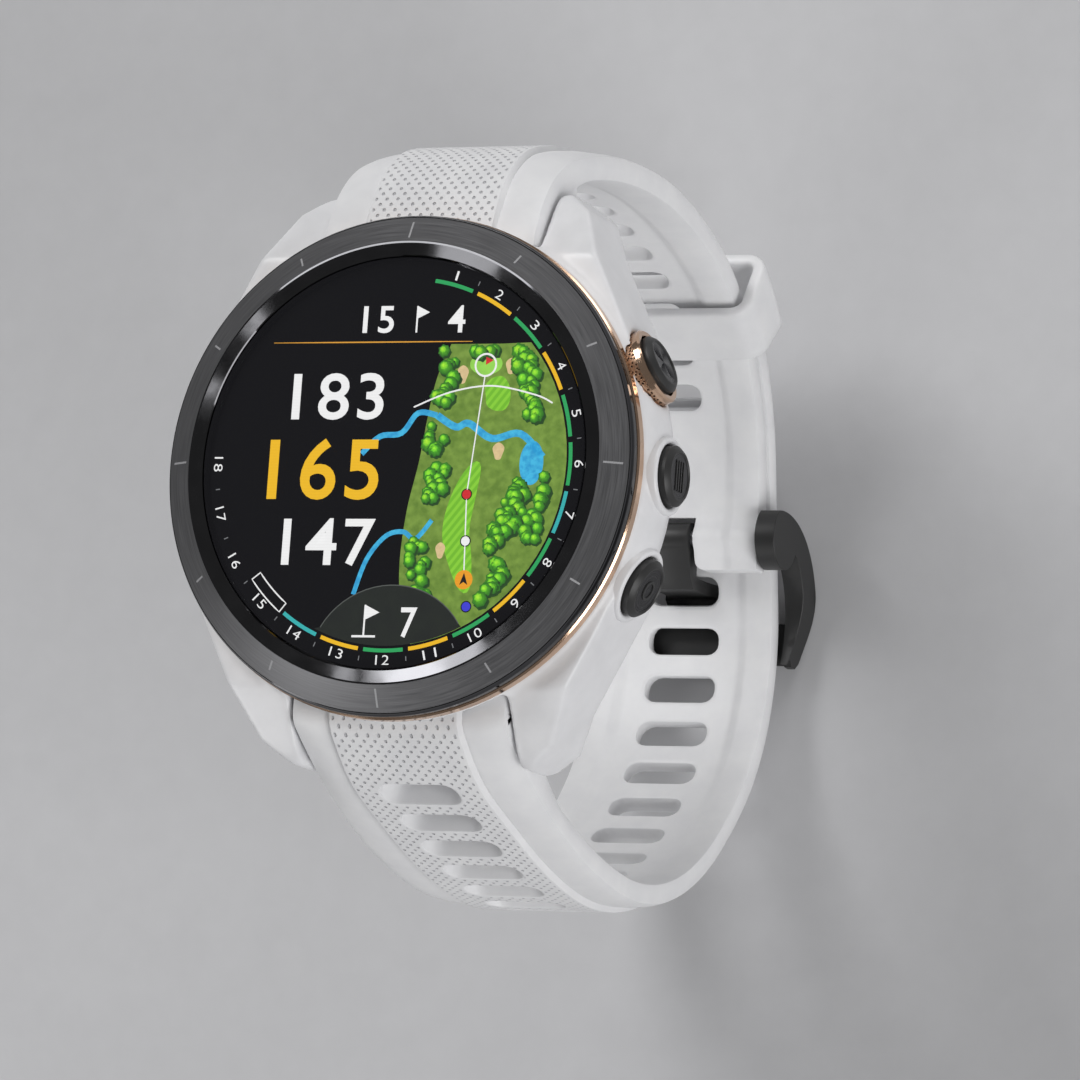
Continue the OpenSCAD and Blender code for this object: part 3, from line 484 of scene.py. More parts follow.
@dataclass
class Draft:
    """A mesh being built, in millimetres, with its own map."""

    name: str
    bm: bmesh.types.BMesh = field(default_factory=bmesh.new)

    def __post_init__(self) -> None:
        """Adds the map layer."""
        self.flow = self.bm.loops.layers.uv.new(FLOW)
        self.tint = None

    def point(self, x: float, y: float, z: float) -> bmesh.types.BMVert:
        """Adds a vertex."""
        return self.bm.verts.new(Vector((x, y, z)) * MM)

    def face(self, corners: Sequence[bmesh.types.BMVert], zone: int = 0, uvs: Sequence[Pair] | None = None) -> None:
        """Adds a face, unless its corners fall together.

        Args:
            corners: vertices in order.
            zone: material index.
            uvs: map position of each corner.
        """
        if len(set(corners)) < 3:
            return
        made = self.bm.faces.get(corners) or self.bm.faces.new(corners)
        made.material_index = zone
        made.smooth = True
        if uvs:
            for loop, uv in zip(made.loops, uvs):
                loop[self.flow].uv = uv

    def bridge(self, first: Sequence[bmesh.types.BMVert], second: Sequence[bmesh.types.BMVert], closed: bool = True,
               zone: int = 0, first_uv: Sequence[Pair] | None = None, second_uv: Sequence[Pair] | None = None) -> None:
        """Joins two rows of the same length with quads."""
        count = len(first)
        for i in range(count if closed else count - 1):
            j = (i + 1) % count
            uvs = [first_uv[i], first_uv[j], second_uv[j], second_uv[i]] if first_uv and second_uv else None
            self.face([first[i], first[j], second[j], second[i]], zone, uvs)

    def lathe(self, profile: Sequence[Pair], steps: int, zones: Sequence[int] | int = 0, place: Matrix | None = None,
              closed: bool = False, lift: Callable[[float, float], float] | None = None) -> None:
        """Turns a profile about Z.

        Args:
            profile: radii and heights.
            steps: number of sides.
            zones: material index of each profile leg, or one for all.
            place: turns and moves the piece.
            closed: whether the profile's ends meet.
            lift: extra height for a radius and a turn.
        """
        rings = []
        for radius, height in profile:
            ring = []
            for i in range(steps if radius > 1e-6 else 1):
                turn = 2 * math.pi * i / steps
                rise = lift(radius, turn) if lift and height > profile[-1][1] - 0.05 else 0.0
                spot = Vector((radius * math.cos(turn), radius * math.sin(turn), height + rise))
                ring.append(self.point(*(place @ spot if place else spot)))
            rings.append(ring * steps if len(ring) == 1 else ring)
        pairs = list(zip(rings, rings[1:])) + ([(rings[-1], rings[0])] if closed else [])
        run = 0.0
        for leg, (low, high) in enumerate(pairs):
            here, there = profile[leg], profile[(leg + 1) % len(profile)]
            reach = math.dist(here, there)
            mean = (here[0] + there[0]) / 2
            zone = zones if isinstance(zones, int) else zones[leg]
            for i in range(steps):
                j = (i + 1) % steps
                u0, u1 = (2 * math.pi * mean * k / steps for k in (i, i + 1))
                corners = [low[i], low[j], high[j], high[i]]
                uvs = [(u0, run), (u1, run), (u1, run + reach), (u0, run + reach)]
                kept = [k for k in range(4) if corners[k] not in corners[:k]]
                self.face([corners[k] for k in kept], zone, [uvs[k] for k in kept])
            run += reach

    def bevel(self, width: float, segments: int, degrees: float, keep: Callable[[Vector], bool] | None = None) -> None:
        """Bevels the edges that are sharper than an angle.

        Args:
            width: width of the bevel.
            segments: number of its steps.
            degrees: least angle between an edge's faces.
            keep: which edge middles, in millimetres, are left out.
        """
        bmesh.ops.recalc_face_normals(self.bm, faces=self.bm.faces)
        edges = []
        for edge in self.bm.edges:
            if edge.is_manifold and edge.calc_face_angle(0) > math.radians(degrees):
                middle = (edge.verts[0].co + edge.verts[1].co) / 2 / MM
                if not (keep and keep(middle)):
                    edges.append(edge)
        bmesh.ops.bevel(self.bm, geom=edges, offset=width * MM, offset_type="OFFSET", segments=segments, profile=0.5,
                        affect="EDGES", clamp_overlap=True, material=-1)
        for made in self.bm.faces:
            made.smooth = True

    def paint(self, corners: Sequence[bmesh.types.BMVert], tints: Sequence[tuple]) -> None:
        """Adds a face with a tint at each corner."""
        if self.tint is None:
            self.tint = self.bm.loops.layers.float_color.new("Tint")
        made = self.bm.faces.new(corners)
        for loop, tint in zip(made.loops, tints):
            loop[self.tint] = tint

    def finish(self, finishes: Sequence[Finish], body: str, slot: str, replaces: Iterable[str] = (),
               sharp: float = 38.0, flat: bool = False) -> bpy.types.Object:
        """Writes the mesh and hands it to a body.

        Args:
            finishes: finish of each zone.
            body: body that carries it.
            slot: material slot of the record; not used.
            replaces: nodes that it stands for.
            sharp: angle from which an edge shows as an edge.
            flat: whether it is a flat print that faces up.

        Returns:
            The new object.
        """
        if not flat:
            bmesh.ops.recalc_face_normals(self.bm, faces=self.bm.faces)
        for edge in self.bm.edges:
            edge.smooth = not edge.is_manifold or edge.calc_face_angle(0) < math.radians(sharp)
        mesh = bpy.data.meshes.new(self.name)
        self.bm.to_mesh(mesh)
        self.bm.free()
        for finish in finishes:
            mesh.materials.append(finish.material())
        piece = bpy.data.objects.new(self.name, mesh)
        bpy.context.scene.collection.objects.link(piece)
        names = list(replaces)
        if names:
            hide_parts(*names)
        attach(piece, body)
        LOG.info("built %s: %d faces on %s", self.name, len(mesh.polygons), body)
        return piece


def rounded_loop(half_w: float, half_h: float, radius: float, side: int, arc: int, top: int) -> list[Pair]:
    """Rounded rectangle as one loop, from the middle of its right side, anticlockwise.

    Args:
        half_w: half of the width.
        half_h: half of the height.
        radius: corner radius.
        side: steps of half of a short side.
        arc: steps of a corner.
        top: steps of half of a long side.

    Returns:
        The loop's points.
    """
    radius = min(radius, half_w, half_h)
    quarter = [(half_w, (half_h - radius) * k / side) for k in range(side)]
    for k in range(arc):
        turn = math.pi / 2 * k / arc
        quarter.append((half_w - radius + radius * math.cos(turn), half_h - radius + radius * math.sin(turn)))
    quarter += [((half_w - radius) * (1 - k / top), half_h) for k in range(top + 1)]
    right = quarter[:-1]
    left = [(-x, y) for x, y in reversed(quarter)][:-1]
    return right + left + [(-x, -y) for x, y in right] + [(x, -y) for x, y in reversed(quarter)][:-1]


# ---------------------------------------------------------------- strap


@dataclass(frozen=True)
class Track:
    """Outer line of a strap half in the Y-Z plane: tangent legs of (radius, sweep) or (length, 0)."""

    start: Pair
    heading: float
    legs: tuple[Pair, ...]
    mirrored: bool = False

    def length(self, count: int | None = None) -> float:
        """Length of the first legs, or of all."""
        return sum(r * math.radians(w) if w else r for r, w in self.legs[:count])

    def at(self, run: float, depth: float) -> Pair:
        """Point at a distance along the track, moved inwards.

        Args:
            run: distance from the start.
            depth: distance inwards.

        Returns:
            Its y and z.
        """
        y, z = self.start
        heading = math.radians(self.heading)
        for index, (size, sweep) in enumerate(self.legs):
            reach = size * math.radians(sweep) if sweep else size
            part = min(run, reach) if index < len(self.legs) - 1 else run
            if sweep:
                cy, cz = y - size * math.sin(heading), z + size * math.cos(heading)
                heading += part / size
                y, z = cy + size * math.sin(heading), cz - size * math.cos(heading)
            else:
                y, z = y + part * math.cos(heading), z + part * math.sin(heading)
            run -= part
            if run <= 1e-9:
                break
        y, z = y - depth * math.sin(heading), z + depth * math.cos(heading)
        return (-y if self.mirrored else y), z


@dataclass
class StrapHalf:
    """One half of the strap: a layer with a dimpled band, soft slots and a thick end between the lugs."""

    name: str
    node: str
    body: str
    track: Track
    thickness: float
    slots: tuple[float, ...]
    band_start: float
    hump: Pair
    lug_extra: float
    notched: bool = False
    tip_round: float = 0.0
    band_height: float = 0.68
    band_half: float = 6.0
    cell_half: float = 5.2
    cell_columns: int = 8
    cell_rows: int = 8
    pitch: float = 4.9
    slot_half: Pair = (3.6, 1.5)
    slot_corner: float = 1.25
    rim: float = 0.2
    inner_rim: float = 0.3
    channel: float = 0.35
    top_half: float = 10.0
    end_half: float = 9.0
    case_wall: float = 20.15
    wall_blend: Pair = (17.0, 21.0)
    notch_half: float = 2.6
    notch_depth: float = 5.0
    block_bottom: float = 0.9
    block_inset: float = 0.6
    pocket: Pair = (3.7, 6.9)
    bar_z: float = 3.3

    def half_width(self, run: float) -> float:
        """Half of the strap's width, with the rounded tip of a tail."""
        z = self.track.at(run, 0)[1]
        share = min(1.0, max(0.0, (-20 - z) / 26))
        half = self.top_half + (self.end_half - self.top_half) * share
        if run < self.tip_round:
            gap = self.tip_round - run
            half += math.sqrt(max(0.0, self.tip_round**2 - gap**2)) - self.tip_round
        return half

    def band(self, run: float) -> float:
        """Height of the dimpled band."""
        base = self.band_height * ease(run, self.band_start, self.band_start + 8)
        centre, height = self.hump
        base += height * math.exp(-(((run - centre) / 6.0) ** 2))
        return base * (1 - self.lug_extra * ease(run, self.end - 6, self.end))

    @property
    def end(self) -> float:
        """Distance at which the measured line ends at the lug."""
        return self.track.length(len(self.track.legs) - 2)

    def depth_in(self, run: float) -> float:
        """Depth of the inner face at the rails."""
        thick = self.thickness + 1.3 * ease(run, self.end - 15, self.end - 4)
        if self.notched:
            thick += 0.9 * math.exp(-(((run - 3.1) / 1.25) ** 2))
        return thick

    def depth_out(self, run: float) -> float:
        """Depth of the outer face at the rails."""
        return -0.05 * math.exp(-(((run - 3.1) / 1.2) ** 2)) if self.notched else 0.0

    def columns(self, run: float) -> tuple[list[Pair], list[Pair]]:
        """Cross-section at a distance along the strap.

        Args:
            run: distance from the start.

        Returns:
            The outer and the inner face's points of (x, depth), for x from 0 up.
        """
        half = self.half_width(run)
        squeeze = min(1.0, half / self.end_half)
        band, out, inner = self.band(run), self.depth_out(run), self.depth_in(run)
        step = self.cell_half / self.cell_columns
        cell = [k * step for k in range(self.cell_columns + 1)]
        edge = self.band_half
        outer = [(x, -band) for x in cell]
        rise = max(0.0, band - 0.5)
        raised = min(1.0, band / self.band_height)
        outer += [(edge - 0.3, -band), (edge - 0.08, -band + 0.04 * raised), (edge + 0.08, -rise - 0.2 * raised),
                  (edge + 0.22, -rise + 0.06 * raised), (edge + 0.6, -rise)]
        rail = edge + 0.6
        span = half / squeeze - 0.6 - rail
        outer += [(rail + span * 0.4, -rise * 0.8 - 0.08 * raised), (rail + span * 0.8, -rise * 0.35 - 0.05 * raised)]
        stop = half / squeeze
        outer += [(stop - 0.5, 0.02), (stop - 0.16, 0.17), (stop, 0.55)]
        inside = [(x, inner - self.channel) for x in cell]
        inside += [(edge - 0.5, inner - self.channel), (edge - 0.2, inner - 0.25), (edge + 0.25, inner - 0.06),
                   (edge + 0.6, inner)]
        inside += [(rail + span * 0.5, inner + 0.02), (stop - 0.48, inner), (stop - 0.14, inner - 0.14),
                   (stop, inner - 0.5)]
        return ([(x * squeeze, d + out) for x, d in outer], [(x * squeeze, d) for x, d in inside])

    def spot(self, run: float, x: float, depth: float) -> Vector:
        """Place of a point of the strap, bent round the wall of the case at the lug."""
        y, z = self.track.at(run, depth)
        side = -1 if y < 0 else 1
        reach = abs(y)
        low, high = self.wall_blend
        if reach < high and z > -3:
            wall = math.sqrt(self.case_wall**2 - min(abs(x), 12.0) ** 2)
            share = max(0.0, (reach - low) / (high - low))
            reach = wall + share * (high - wall)
        return Vector((x, side * reach, z))

    def rows(self) -> list[float]:
        """Distances of the cross-sections, with slot cells cut evenly."""
        rows, run = [], 0.0
        first, last = self.slots[0] - self.pitch / 2, self.slots[-1] + self.pitch / 2
        head = max(4, round(first))
        rows += [first * k / head for k in range(head)]
        if self.notched:
            rows = sorted({*(r for r in rows if r > self.notch_depth + 0.4), 0.0, 0.12, 0.3, 0.6, 1.0, 1.8, 2.6, 3.4,
                           4.2, self.notch_depth})
        elif self.tip_round:
            rows = sorted({*rows, 0.1, 0.3, 0.6, 1.4, 2.4})
        count = self.cell_rows * len(self.slots)
        rows += [first + (last - first) * k / count for k in range(count)]
        total = self.track.length()
        tail = round((total - last) / 0.8)
        rows += [last + (total - last) * k / tail for k in range(tail + 1)]
        return rows

    def build(self) -> bpy.types.Object:
        """Builds the half.

        Returns:
            The strap half's object.
        """
        draft = Draft(self.name)
        rows = self.rows()
        grid_out, grid_in, uv_out, uv_in = [], [], [], []
        for run in rows:
            outer, inside = self.columns(run)
            flare = 0.0
            if self.notched and run < 1.0:
                flare = 1.0 - math.sqrt(max(0.0, 1 - (1 - run) ** 2))
            for store, maps, half in ((grid_out, uv_out, outer), (grid_in, uv_in, inside)):
                line = [(-x, d) for x, d in reversed(half)][:-1] + half
                if flare:
                    line = [(self.open_notch(x, flare), d) for x, d in line]
                store.append([draft.bm.verts.new(self.spot(run, x, d) * MM) for x, d in line])
                maps.append([(x, run) for x, _ in line])
        count_out, count_in = len(grid_out[0]), len(grid_in[0])
        mid_out, mid_in = count_out // 2, count_in // 2
        reach = self.cell_columns
        cells = self.cell_starts(rows)
        notch_columns = round(self.notch_half / (self.cell_half / self.cell_columns))
        for r in range(len(rows) - 1):
            in_cell = any(start <= r < start + self.cell_rows for start in cells)
            in_notch = self.notched and rows[r + 1] <= self.notch_depth + 1e-6
            gap = reach if in_cell else notch_columns if in_notch else 0
            dimpled = self.band(rows[r]) > 0.3
            for c in range(count_out - 1):
                if mid_out - gap <= c < mid_out + gap:
                    continue
                zone = 1 if dimpled and abs(c + 0.5 - mid_out) < reach + 1 else 0
                self.quad(draft, grid_out, uv_out, r, c, zone)
            for c in range(count_in - 1):
                if mid_in - gap <= c < mid_in + gap:
                    continue
                self.quad(draft, grid_in, uv_in, r, c, 0)
            for side in (0, -1):
                draft.face([grid_out[r][side], grid_out[r + 1][side], grid_in[r + 1][side], grid_in[r][side]], 0,
                           [(0, rows[r]), (0, rows[r + 1]), (1, rows[r + 1]), (1, rows[r])])
            if in_notch:
                for sign in (-1, 1):
                    a, b = mid_out + sign * gap, mid_in + sign * gap
                    draft.face([grid_out[r][a], grid_out[r + 1][a], grid_in[r + 1][b], grid_in[r][b]])
        self.cap(draft, grid_out[0], grid_in[0], notch_columns if self.notched else 0)
        self.cap(draft, grid_out[-1], grid_in[-1], 0)
        if self.notched:
            r = rows.index(self.notch_depth)
            for k in range(-notch_columns, notch_columns):
                draft.face([grid_out[r][mid_out + k], grid_out[r][mid_out + k + 1], grid_in[r][mid_in + k + 1],
                            grid_in[r][mid_in + k]])
        for start, run in zip(cells, self.slots):
            self.cut_slot(draft, grid_out, grid_in, start, run)
        tip = self.spot(0.0, 0.0, self.thickness / 2)
        draft.bevel(0.22, 2, 55, lambda at: (at - tip).length > self.top_half + 3)
        self.end_block(draft)
        return draft.finish([WHITE, DIMPLED], self.body, "silicone_white", [self.node])

    def cell_starts(self, rows: Sequence[float]) -> list[int]:
        """Index of each slot cell's first row."""
        first = min(range(len(rows)), key=lambda i: abs(rows[i] - (self.slots[0] - self.pitch / 2)))
        return [first + k * self.cell_rows for k in range(len(self.slots))]

    def open_notch(self, x: float, flare: float) -> float:
        """Moves a column outwards where the mouth of the notch is rounded."""
        if abs(x) < self.notch_half - 0.01 or abs(x) > self.notch_half + 2:
            return x
        share = 1 - (abs(x) - self.notch_half) / 2
        return x + math.copysign(flare * share, x)

    def quad(self, draft: Draft, grid: list, maps: list, r: int, c: int, zone: int) -> None:
        """Adds one quad of a face's grid."""
        draft.face([grid[r][c], grid[r][c + 1], grid[r + 1][c + 1], grid[r + 1][c]], zone,
                   [maps[r][c], maps[r][c + 1], maps[r + 1][c + 1], maps[r + 1][c]])

    def cap(self, draft: Draft, outer: list, inside: list, gap: int) -> None:
        """Closes an end of the strap between its two faces.

        Args:
            draft: mesh being built.
            outer: row of the outer face.
            inside: row of the inner face.
            gap: columns either side of the middle that the notch takes.
        """
        mid_out, mid_in = len(outer) // 2, len(inside) // 2
        if gap:
            left = [*outer[: mid_out - gap + 1], *reversed(inside[: mid_in - gap + 1])]
            right = [*outer[mid_out + gap:], *reversed(inside[mid_in + gap:])]
            draft.face(left)
            draft.face(right)
        else:
            draft.face([*outer, *reversed(inside)])

    def cut_slot(self, draft: Draft, grid_out: list, grid_in: list, start: int, run: float) -> None:
        """Fills a slot's cell round a soft-edged hole.

        Args:
            draft: mesh being built.
            grid_out: rows of the outer face.
            grid_in: rows of the inner face.
            start: first row of the cell.
            run: distance of the slot's middle.
        """
        half_w, half_h = self.slot_half
        reach, rows = self.cell_columns, self.cell_rows
        holes = []
        for grid, depth_of, shrink, inward in ((grid_out, lambda s: self.depth_out(s) - self.band(s), 0.0, 1),
                                               (grid_in, lambda s: self.depth_in(s) - self.channel, 0.18, -1)):
            mid = len(grid[0]) // 2
            border = self.cell_border(grid, start, rows, mid, reach)
            zone = 1 if inward == 1 and self.band(run) > 0.3 else 0
            loops = []
            rim = self.rim if inward == 1 else self.inner_rim
            for offset, drop in ((0.0, 1.0), (0.3, 0.3), (1.0, 0.0), (1.5, 0.0)):
                grow = offset * rim - shrink
                loop = rounded_loop(half_w + grow, half_h + grow, self.slot_corner + grow, 1, 4, 7)
                loops.append([(x, run + s, depth_of(run + s) + inward * drop * rim) for x, s in loop])
            outline = [(x, s) for x, s, _ in loops[-1]]
            frame_uv = self.cell_outline(run)
            middle = [((a[0] + b[0]) / 2, (a[1] + b[1]) / 2) for a, b in zip(outline, frame_uv)]
            loops.append([(x, s, depth_of(s)) for x, s in middle])
            made = [[draft.bm.verts.new(self.spot(s, x, d) * MM) for x, s, d in loop] for loop in loops]
            maps = [[(x, s) for x, s, _ in loop] for loop in loops]
            for k in range(len(made) - 1):
                draft.bridge(made[k], made[k + 1], True, zone if k > 1 else 0, maps[k], maps[k + 1])
            draft.bridge(made[-1], border, True, zone, maps[-1], frame_uv)
            holes.append(made[0])
        draft.bridge(holes[0], holes[1], True, 0)

    def cell_border(self, grid: list, start: int, rows: int, mid: int, reach: int) -> list:
        """Vertices round a slot's cell, from the middle of its right side, anticlockwise."""
        half = rows // 2
        right = [grid[start + half + k][mid + reach] for k in range(half)]
        top = [grid[start + rows][mid + reach - k] for k in range(2 * reach)]
        left = [grid[start + rows - k][mid - reach] for k in range(rows)]
        bottom = [grid[start][mid - reach + k] for k in range(2 * reach)]
        return right + top + left + bottom + [grid[start + k][mid + reach] for k in range(half)]

    def cell_outline(self, run: float) -> list[Pair]:
        """Map positions of a slot cell's border, in the border's order."""
        half, reach = self.cell_rows // 2, self.cell_columns
        step_x, step_s = self.cell_half / reach, self.pitch / self.cell_rows
        right = [(self.cell_half, run + k * step_s) for k in range(half)]
        top = [(self.cell_half - k * step_x, run + self.pitch / 2) for k in range(2 * reach)]
        left = [(-self.cell_half, run + self.pitch / 2 - k * step_s) for k in range(2 * half)]
        bottom = [(-self.cell_half + k * step_x, run - self.pitch / 2) for k in range(2 * reach)]
        return right + top + left + bottom + [(self.cell_half, run - self.pitch / 2 + k * step_s) for k in range(half)]

    def end_block(self, draft: Draft) -> None:
        """Adds the thick end round the spring bar, open below the release knob."""
        side = -1 if self.track.mirrored else 1
        line = []
        total = self.track.length()
        run = total
        while run > 0:
            y, z = self.track.at(run, self.block_inset)
            if z < self.block_bottom:
                break
            line.append((abs(y), z))
            run -= 0.6
        line[0] = (self.wall_blend[0], line[0][1])
        inset = self.top_half - 0.05
        for low, high, floor in ((-inset, self.pocket[0], self.block_bottom), (*self.pocket, self.bar_z),
                                 (self.pocket[1], inset, self.block_bottom)):
            shape = [(y, z) for y, z in line if z > floor]
            shape += [(shape[-1][0], floor), (self.wall_blend[0], floor)]
            steps = max(2, round((high - low) / 1.5))
            rings = []
            for k in range(steps + 1):
                x = low + (high - low) * k / steps
                ring = []
                for y, z in shape:
                    wall = math.sqrt(self.case_wall**2 - x * x)
                    lo, hi = self.wall_blend
                    reach = wall + max(0.0, (y - lo) / (hi - lo)) * (hi - wall) if y < hi else y
                    ring.append(draft.point(x, side * reach, z))
                rings.append(ring)
            for a, b in zip(rings, rings[1:]):
                draft.bridge(a, b)
            draft.face(rings[0])
            draft.face(list(reversed(rings[-1])))


def upper_half() -> StrapHalf:
    """The half that carries the buckle, from its pin end to the upper lugs."""
    track = Track((1.2, -50.7), 1.0, ((58, 9), (23.4, 60), (55, 38), (12.1, 55.5), (6, 16.5), (4, 0)))
    return StrapHalf("upper_strap_dressed", "upper_strap", "upper_band", track, 2.3,
                     tuple(17 + 4.9 * k for k in range(11)), 31.0, (70.0, 0.35), 0.6, notched=True)


def lower_half() -> StrapHalf:
    """The half with the tail, from its tip to the lower lugs."""
    legs = ((25.75, 35.405), (13.7815, 0), (20, 12.595), (21.9, 38.2), (34.7, 60.5), (60.4, 26.5), (1.6, 54.8), (4, 0))
    track = Track((-25.332, -44.013), -48.0, legs, mirrored=True)
    return StrapHalf("lower_strap_dressed", "lower_strap", "lower_band", track, 2.0,
                     tuple(27.809 + 4.9 * k for k in range(-4, 17)), 47.0, (108.0, 0.8), 0.0, tip_round=4.0)


@dataclass
class Keeper:
    """Loose loop that holds the tail: a soft-cornered band bent along the strap."""

    centre: Pair = (6.196, -26.783)
    heading: float = 50.0
    length: float = 6.5
    mean_r: float = 23.4
    window_r: Pair = (20.62, 26.23)
    half_x: float = 9.85
    wall: float = 1.13
    corner: float = 2.1
    edge: float = 0.28

    def build(self) -> bpy.types.Object:
        """Builds the keeper.

        Returns:
            The keeper's object.
        """
        draft = Draft("keeper_dressed")
        middle = sum(self.window_r) / 2
        half_r = (self.window_r[1] - self.window_r[0]) / 2
        sweep = self.length / self.mean_r
        outer_rings, inner_rings = [], []
        steps = 10
        stations = [(0.0, self.edge), (0.12, 0.09), (self.edge, 0.0)]
        stations += [(self.edge + (self.length - 2 * self.edge) * k / steps, 0.0) for k in range(1, steps)]
        stations += [(self.length - self.edge, 0.0), (self.length - 0.12, 0.09), (self.length, self.edge)]
        for run, inset in stations:
            turn = math.radians(self.heading) - sweep / 2 + sweep * run / self.length
            outer = rounded_loop(self.half_x + self.wall - inset, half_r + self.wall - inset, self.corner - inset, 4,
                                 7, 9)
            inner = rounded_loop(self.half_x + inset, half_r + inset, 0.9 + inset, 4, 7, 9)
            for store, loop in ((outer_rings, outer), (inner_rings, inner)):
                ring = []
                for x, r in loop:
                    radius = middle + r
                    ring.append(draft.point(x, self.centre[0] + radius * math.sin(turn),
                                            self.centre[1] - radius * math.cos(turn)))
                store.append(ring)
        for rings in (outer_rings, inner_rings):
            for a, b in zip(rings, rings[1:]):
                draft.bridge(a, b)
        draft.bridge(outer_rings[0], inner_rings[0])
        draft.bridge(outer_rings[-1], inner_rings[-1])
        return draft.finish([WHITE], "band_keeper", "silicone_white", ["keeper"], sharp=50)


# ---------------------------------------------------------------- buckle


@dataclass
class Buckle:
    """Black frame with faceted arms, and its tongue."""

    pin: Pair = (4.2, -49.2)
    head_r: float = 2.9
    outer: tuple[float, float, float] = (-2.5, -49.0, 9.19)
    inner: tuple[float, float, float] = (-3.4, -46.9, 8.4)
    arm_x: Pair = (9.4, 11.3)
    end_angle: float = -118.0
    bar: Pair = (-2.6, -56.05)
    stem: float = 2.1
    foot: float = 3.1
    foot_z: float = -57.9
    chamfer: float = 0.75
    taper_run: Pair = (-0.5, 7.5)
    taper: float = 1.25

    def arm_outline(self) -> list[Pair]:
        """Side outline of an arm with its round head."""
        cy, cz, radius = self.outer
        iy, iz, inner_r = self.inner
        py, pz = self.pin

        def arc(y: float, z: float, r: float, turns: Iterable[float]) -> list[Pair]:
            """Points of an arc at some turns, in degrees."""
            return [(y + r * math.cos(math.radians(a)), z + r * math.sin(math.radians(a))) for a in turns]

        end = int(self.end_angle)
        spots = arc(py, pz, self.head_r, range(150, 34, -6)) + arc(cy, cz, radius, range(6, end + 3, -4))
        spots += arc(cy, cz, radius - 0.35, [end - 1]) + arc(cy, cz, radius - 1.2, [end - 4])
        spots += arc(cy, cz, radius - 2.0, [end - 2]) + arc(iy, iz, inner_r, range(end + 5, -37, 4))
        return spots + arc(py, pz, self.head_r, range(-112, -206, -8))

    def prism(self, draft: Draft, outline: Sequence[Pair], low: float, high: float) -> None:
        """Adds an outline of the Y-Z plane pushed along X."""
        left = [draft.point(low, y, z) for y, z in outline]
        right = [draft.point(high, y, z) for y, z in outline]
        draft.bridge(left, right)
        draft.face(left)
        draft.face(list(reversed(right)))

    def build_frame(self) -> bpy.types.Object:
        """Builds the frame: two arms and the far bar.

        Returns:
            The frame's object.
        """
        draft = Draft("buckle_frame_dressed")
        low, high = self.arm_x
        outline = self.arm_outline()
        for sign in (-1, 1):
            self.prism(draft, outline, min(sign * low, sign * high), max(sign * low, sign * high))
        for vert in draft.bm.verts:
            side = vert.co.x / MM
            if abs(side) > sum(self.arm_x) / 2:
                drop = ease(-vert.co.y / MM, *self.taper_run)
                vert.co.x = math.copysign(high - self.taper * drop, side) * MM
        draft.bevel(self.chamfer, 1, 60, lambda at: abs(at.x) < sum(self.arm_x) / 2)
        far = self.far_bar()
        other = Draft("far_bar")
        self.prism(other, far, -low - 0.4, low + 0.4)
        other.bevel(0.3, 2, 50)
        spare = bpy.data.meshes.new("far_bar")
        other.bm.to_mesh(spare)
        other.bm.free()
        draft.bm.from_mesh(spare)
        bpy.data.meshes.remove(spare)
        return draft.finish([BLACK_METAL], "frame", "black_metal", ["buckle_frame"], sharp=28)

    def far_bar(self) -> list[Pair]:
        """Outline of the bar across the far end, with the recess of the tongue's foot left by its low top."""
        cy, cz, radius = self.outer
        y0, top = self.bar
        spots = [(y0, top)]
        for turn in range(-91, int(self.end_angle) - 1, -4):
            a = math.radians(turn)
            spots.append((cy + radius * math.cos(a), cz + radius * math.sin(a)))
        spots.append((cy + radius * math.cos(math.radians(self.end_angle)) + 0.2, top))
        return spots

    def build_tongue(self) -> bpy.types.Object:
        """Builds the tongue: a barrel on the pin, a stem and a wide foot.

        Returns:
            The tongue's object.
        """
        draft = Draft("buckle_tongue_dressed")
        py, pz = self.pin
        top = [(py + 1.45 * math.cos(math.radians(a)), pz + 1.45 * math.sin(math.radians(a))) for a in range(150, -76,
                                                                                                             -15)]
        stem = top + [(0.8, pz - 1.6), (0.8, self.foot_z + 0.5), (0.3, self.foot_z), (-3.7, self.foot_z),
                      (-3.7, self.foot_z + 1.0), (-1.0, self.foot_z + 1.2), (-0.4, self.foot_z + 1.8), (-0.4, pz - 1.0),
                      (0.4, pz - 0.2)]
        self.prism(draft, stem, -self.stem, self.stem)
        for sign in (-1, 1):
            self.flare(draft, sign)
        draft.bevel(0.16, 2, 50)
        return draft.finish([BLACK_METAL], "tongue", "black_metal", ["buckle_tongue"], sharp=32)

    def flare(self, draft: Draft, sign: int) -> None:
        """Adds one side of the foot, which widens from the stem in a curve."""
        base, rise = self.foot_z, 4.4
        steps = 8
        rings = []
        for k in range(steps + 1):
            share = k / steps
            x = sign * (self.stem - 0.15 + (self.foot - self.stem + 0.15) * share)
            top = base + 1.8 + rise * (1 - math.sqrt(max(0.0, 1 - (1 - share) ** 2))) + 0.6 * (1 - share)
            low = [(0.8, top), (0.8, base + 0.5), (0.3, base), (-3.7, base), (-3.7, base + 1.0), (-1.0, base + 1.2),
                   (-0.4, base + 1.8), (-0.4, top)]
            rings.append([draft.point(x, y, z) for y, z in low])
        for a, b in zip(rings, rings[1:]):
            draft.bridge(a, b)
        draft.face(rings[0])
        draft.face(list(reversed(rings[-1])))


# ---------------------------------------------------------------- head


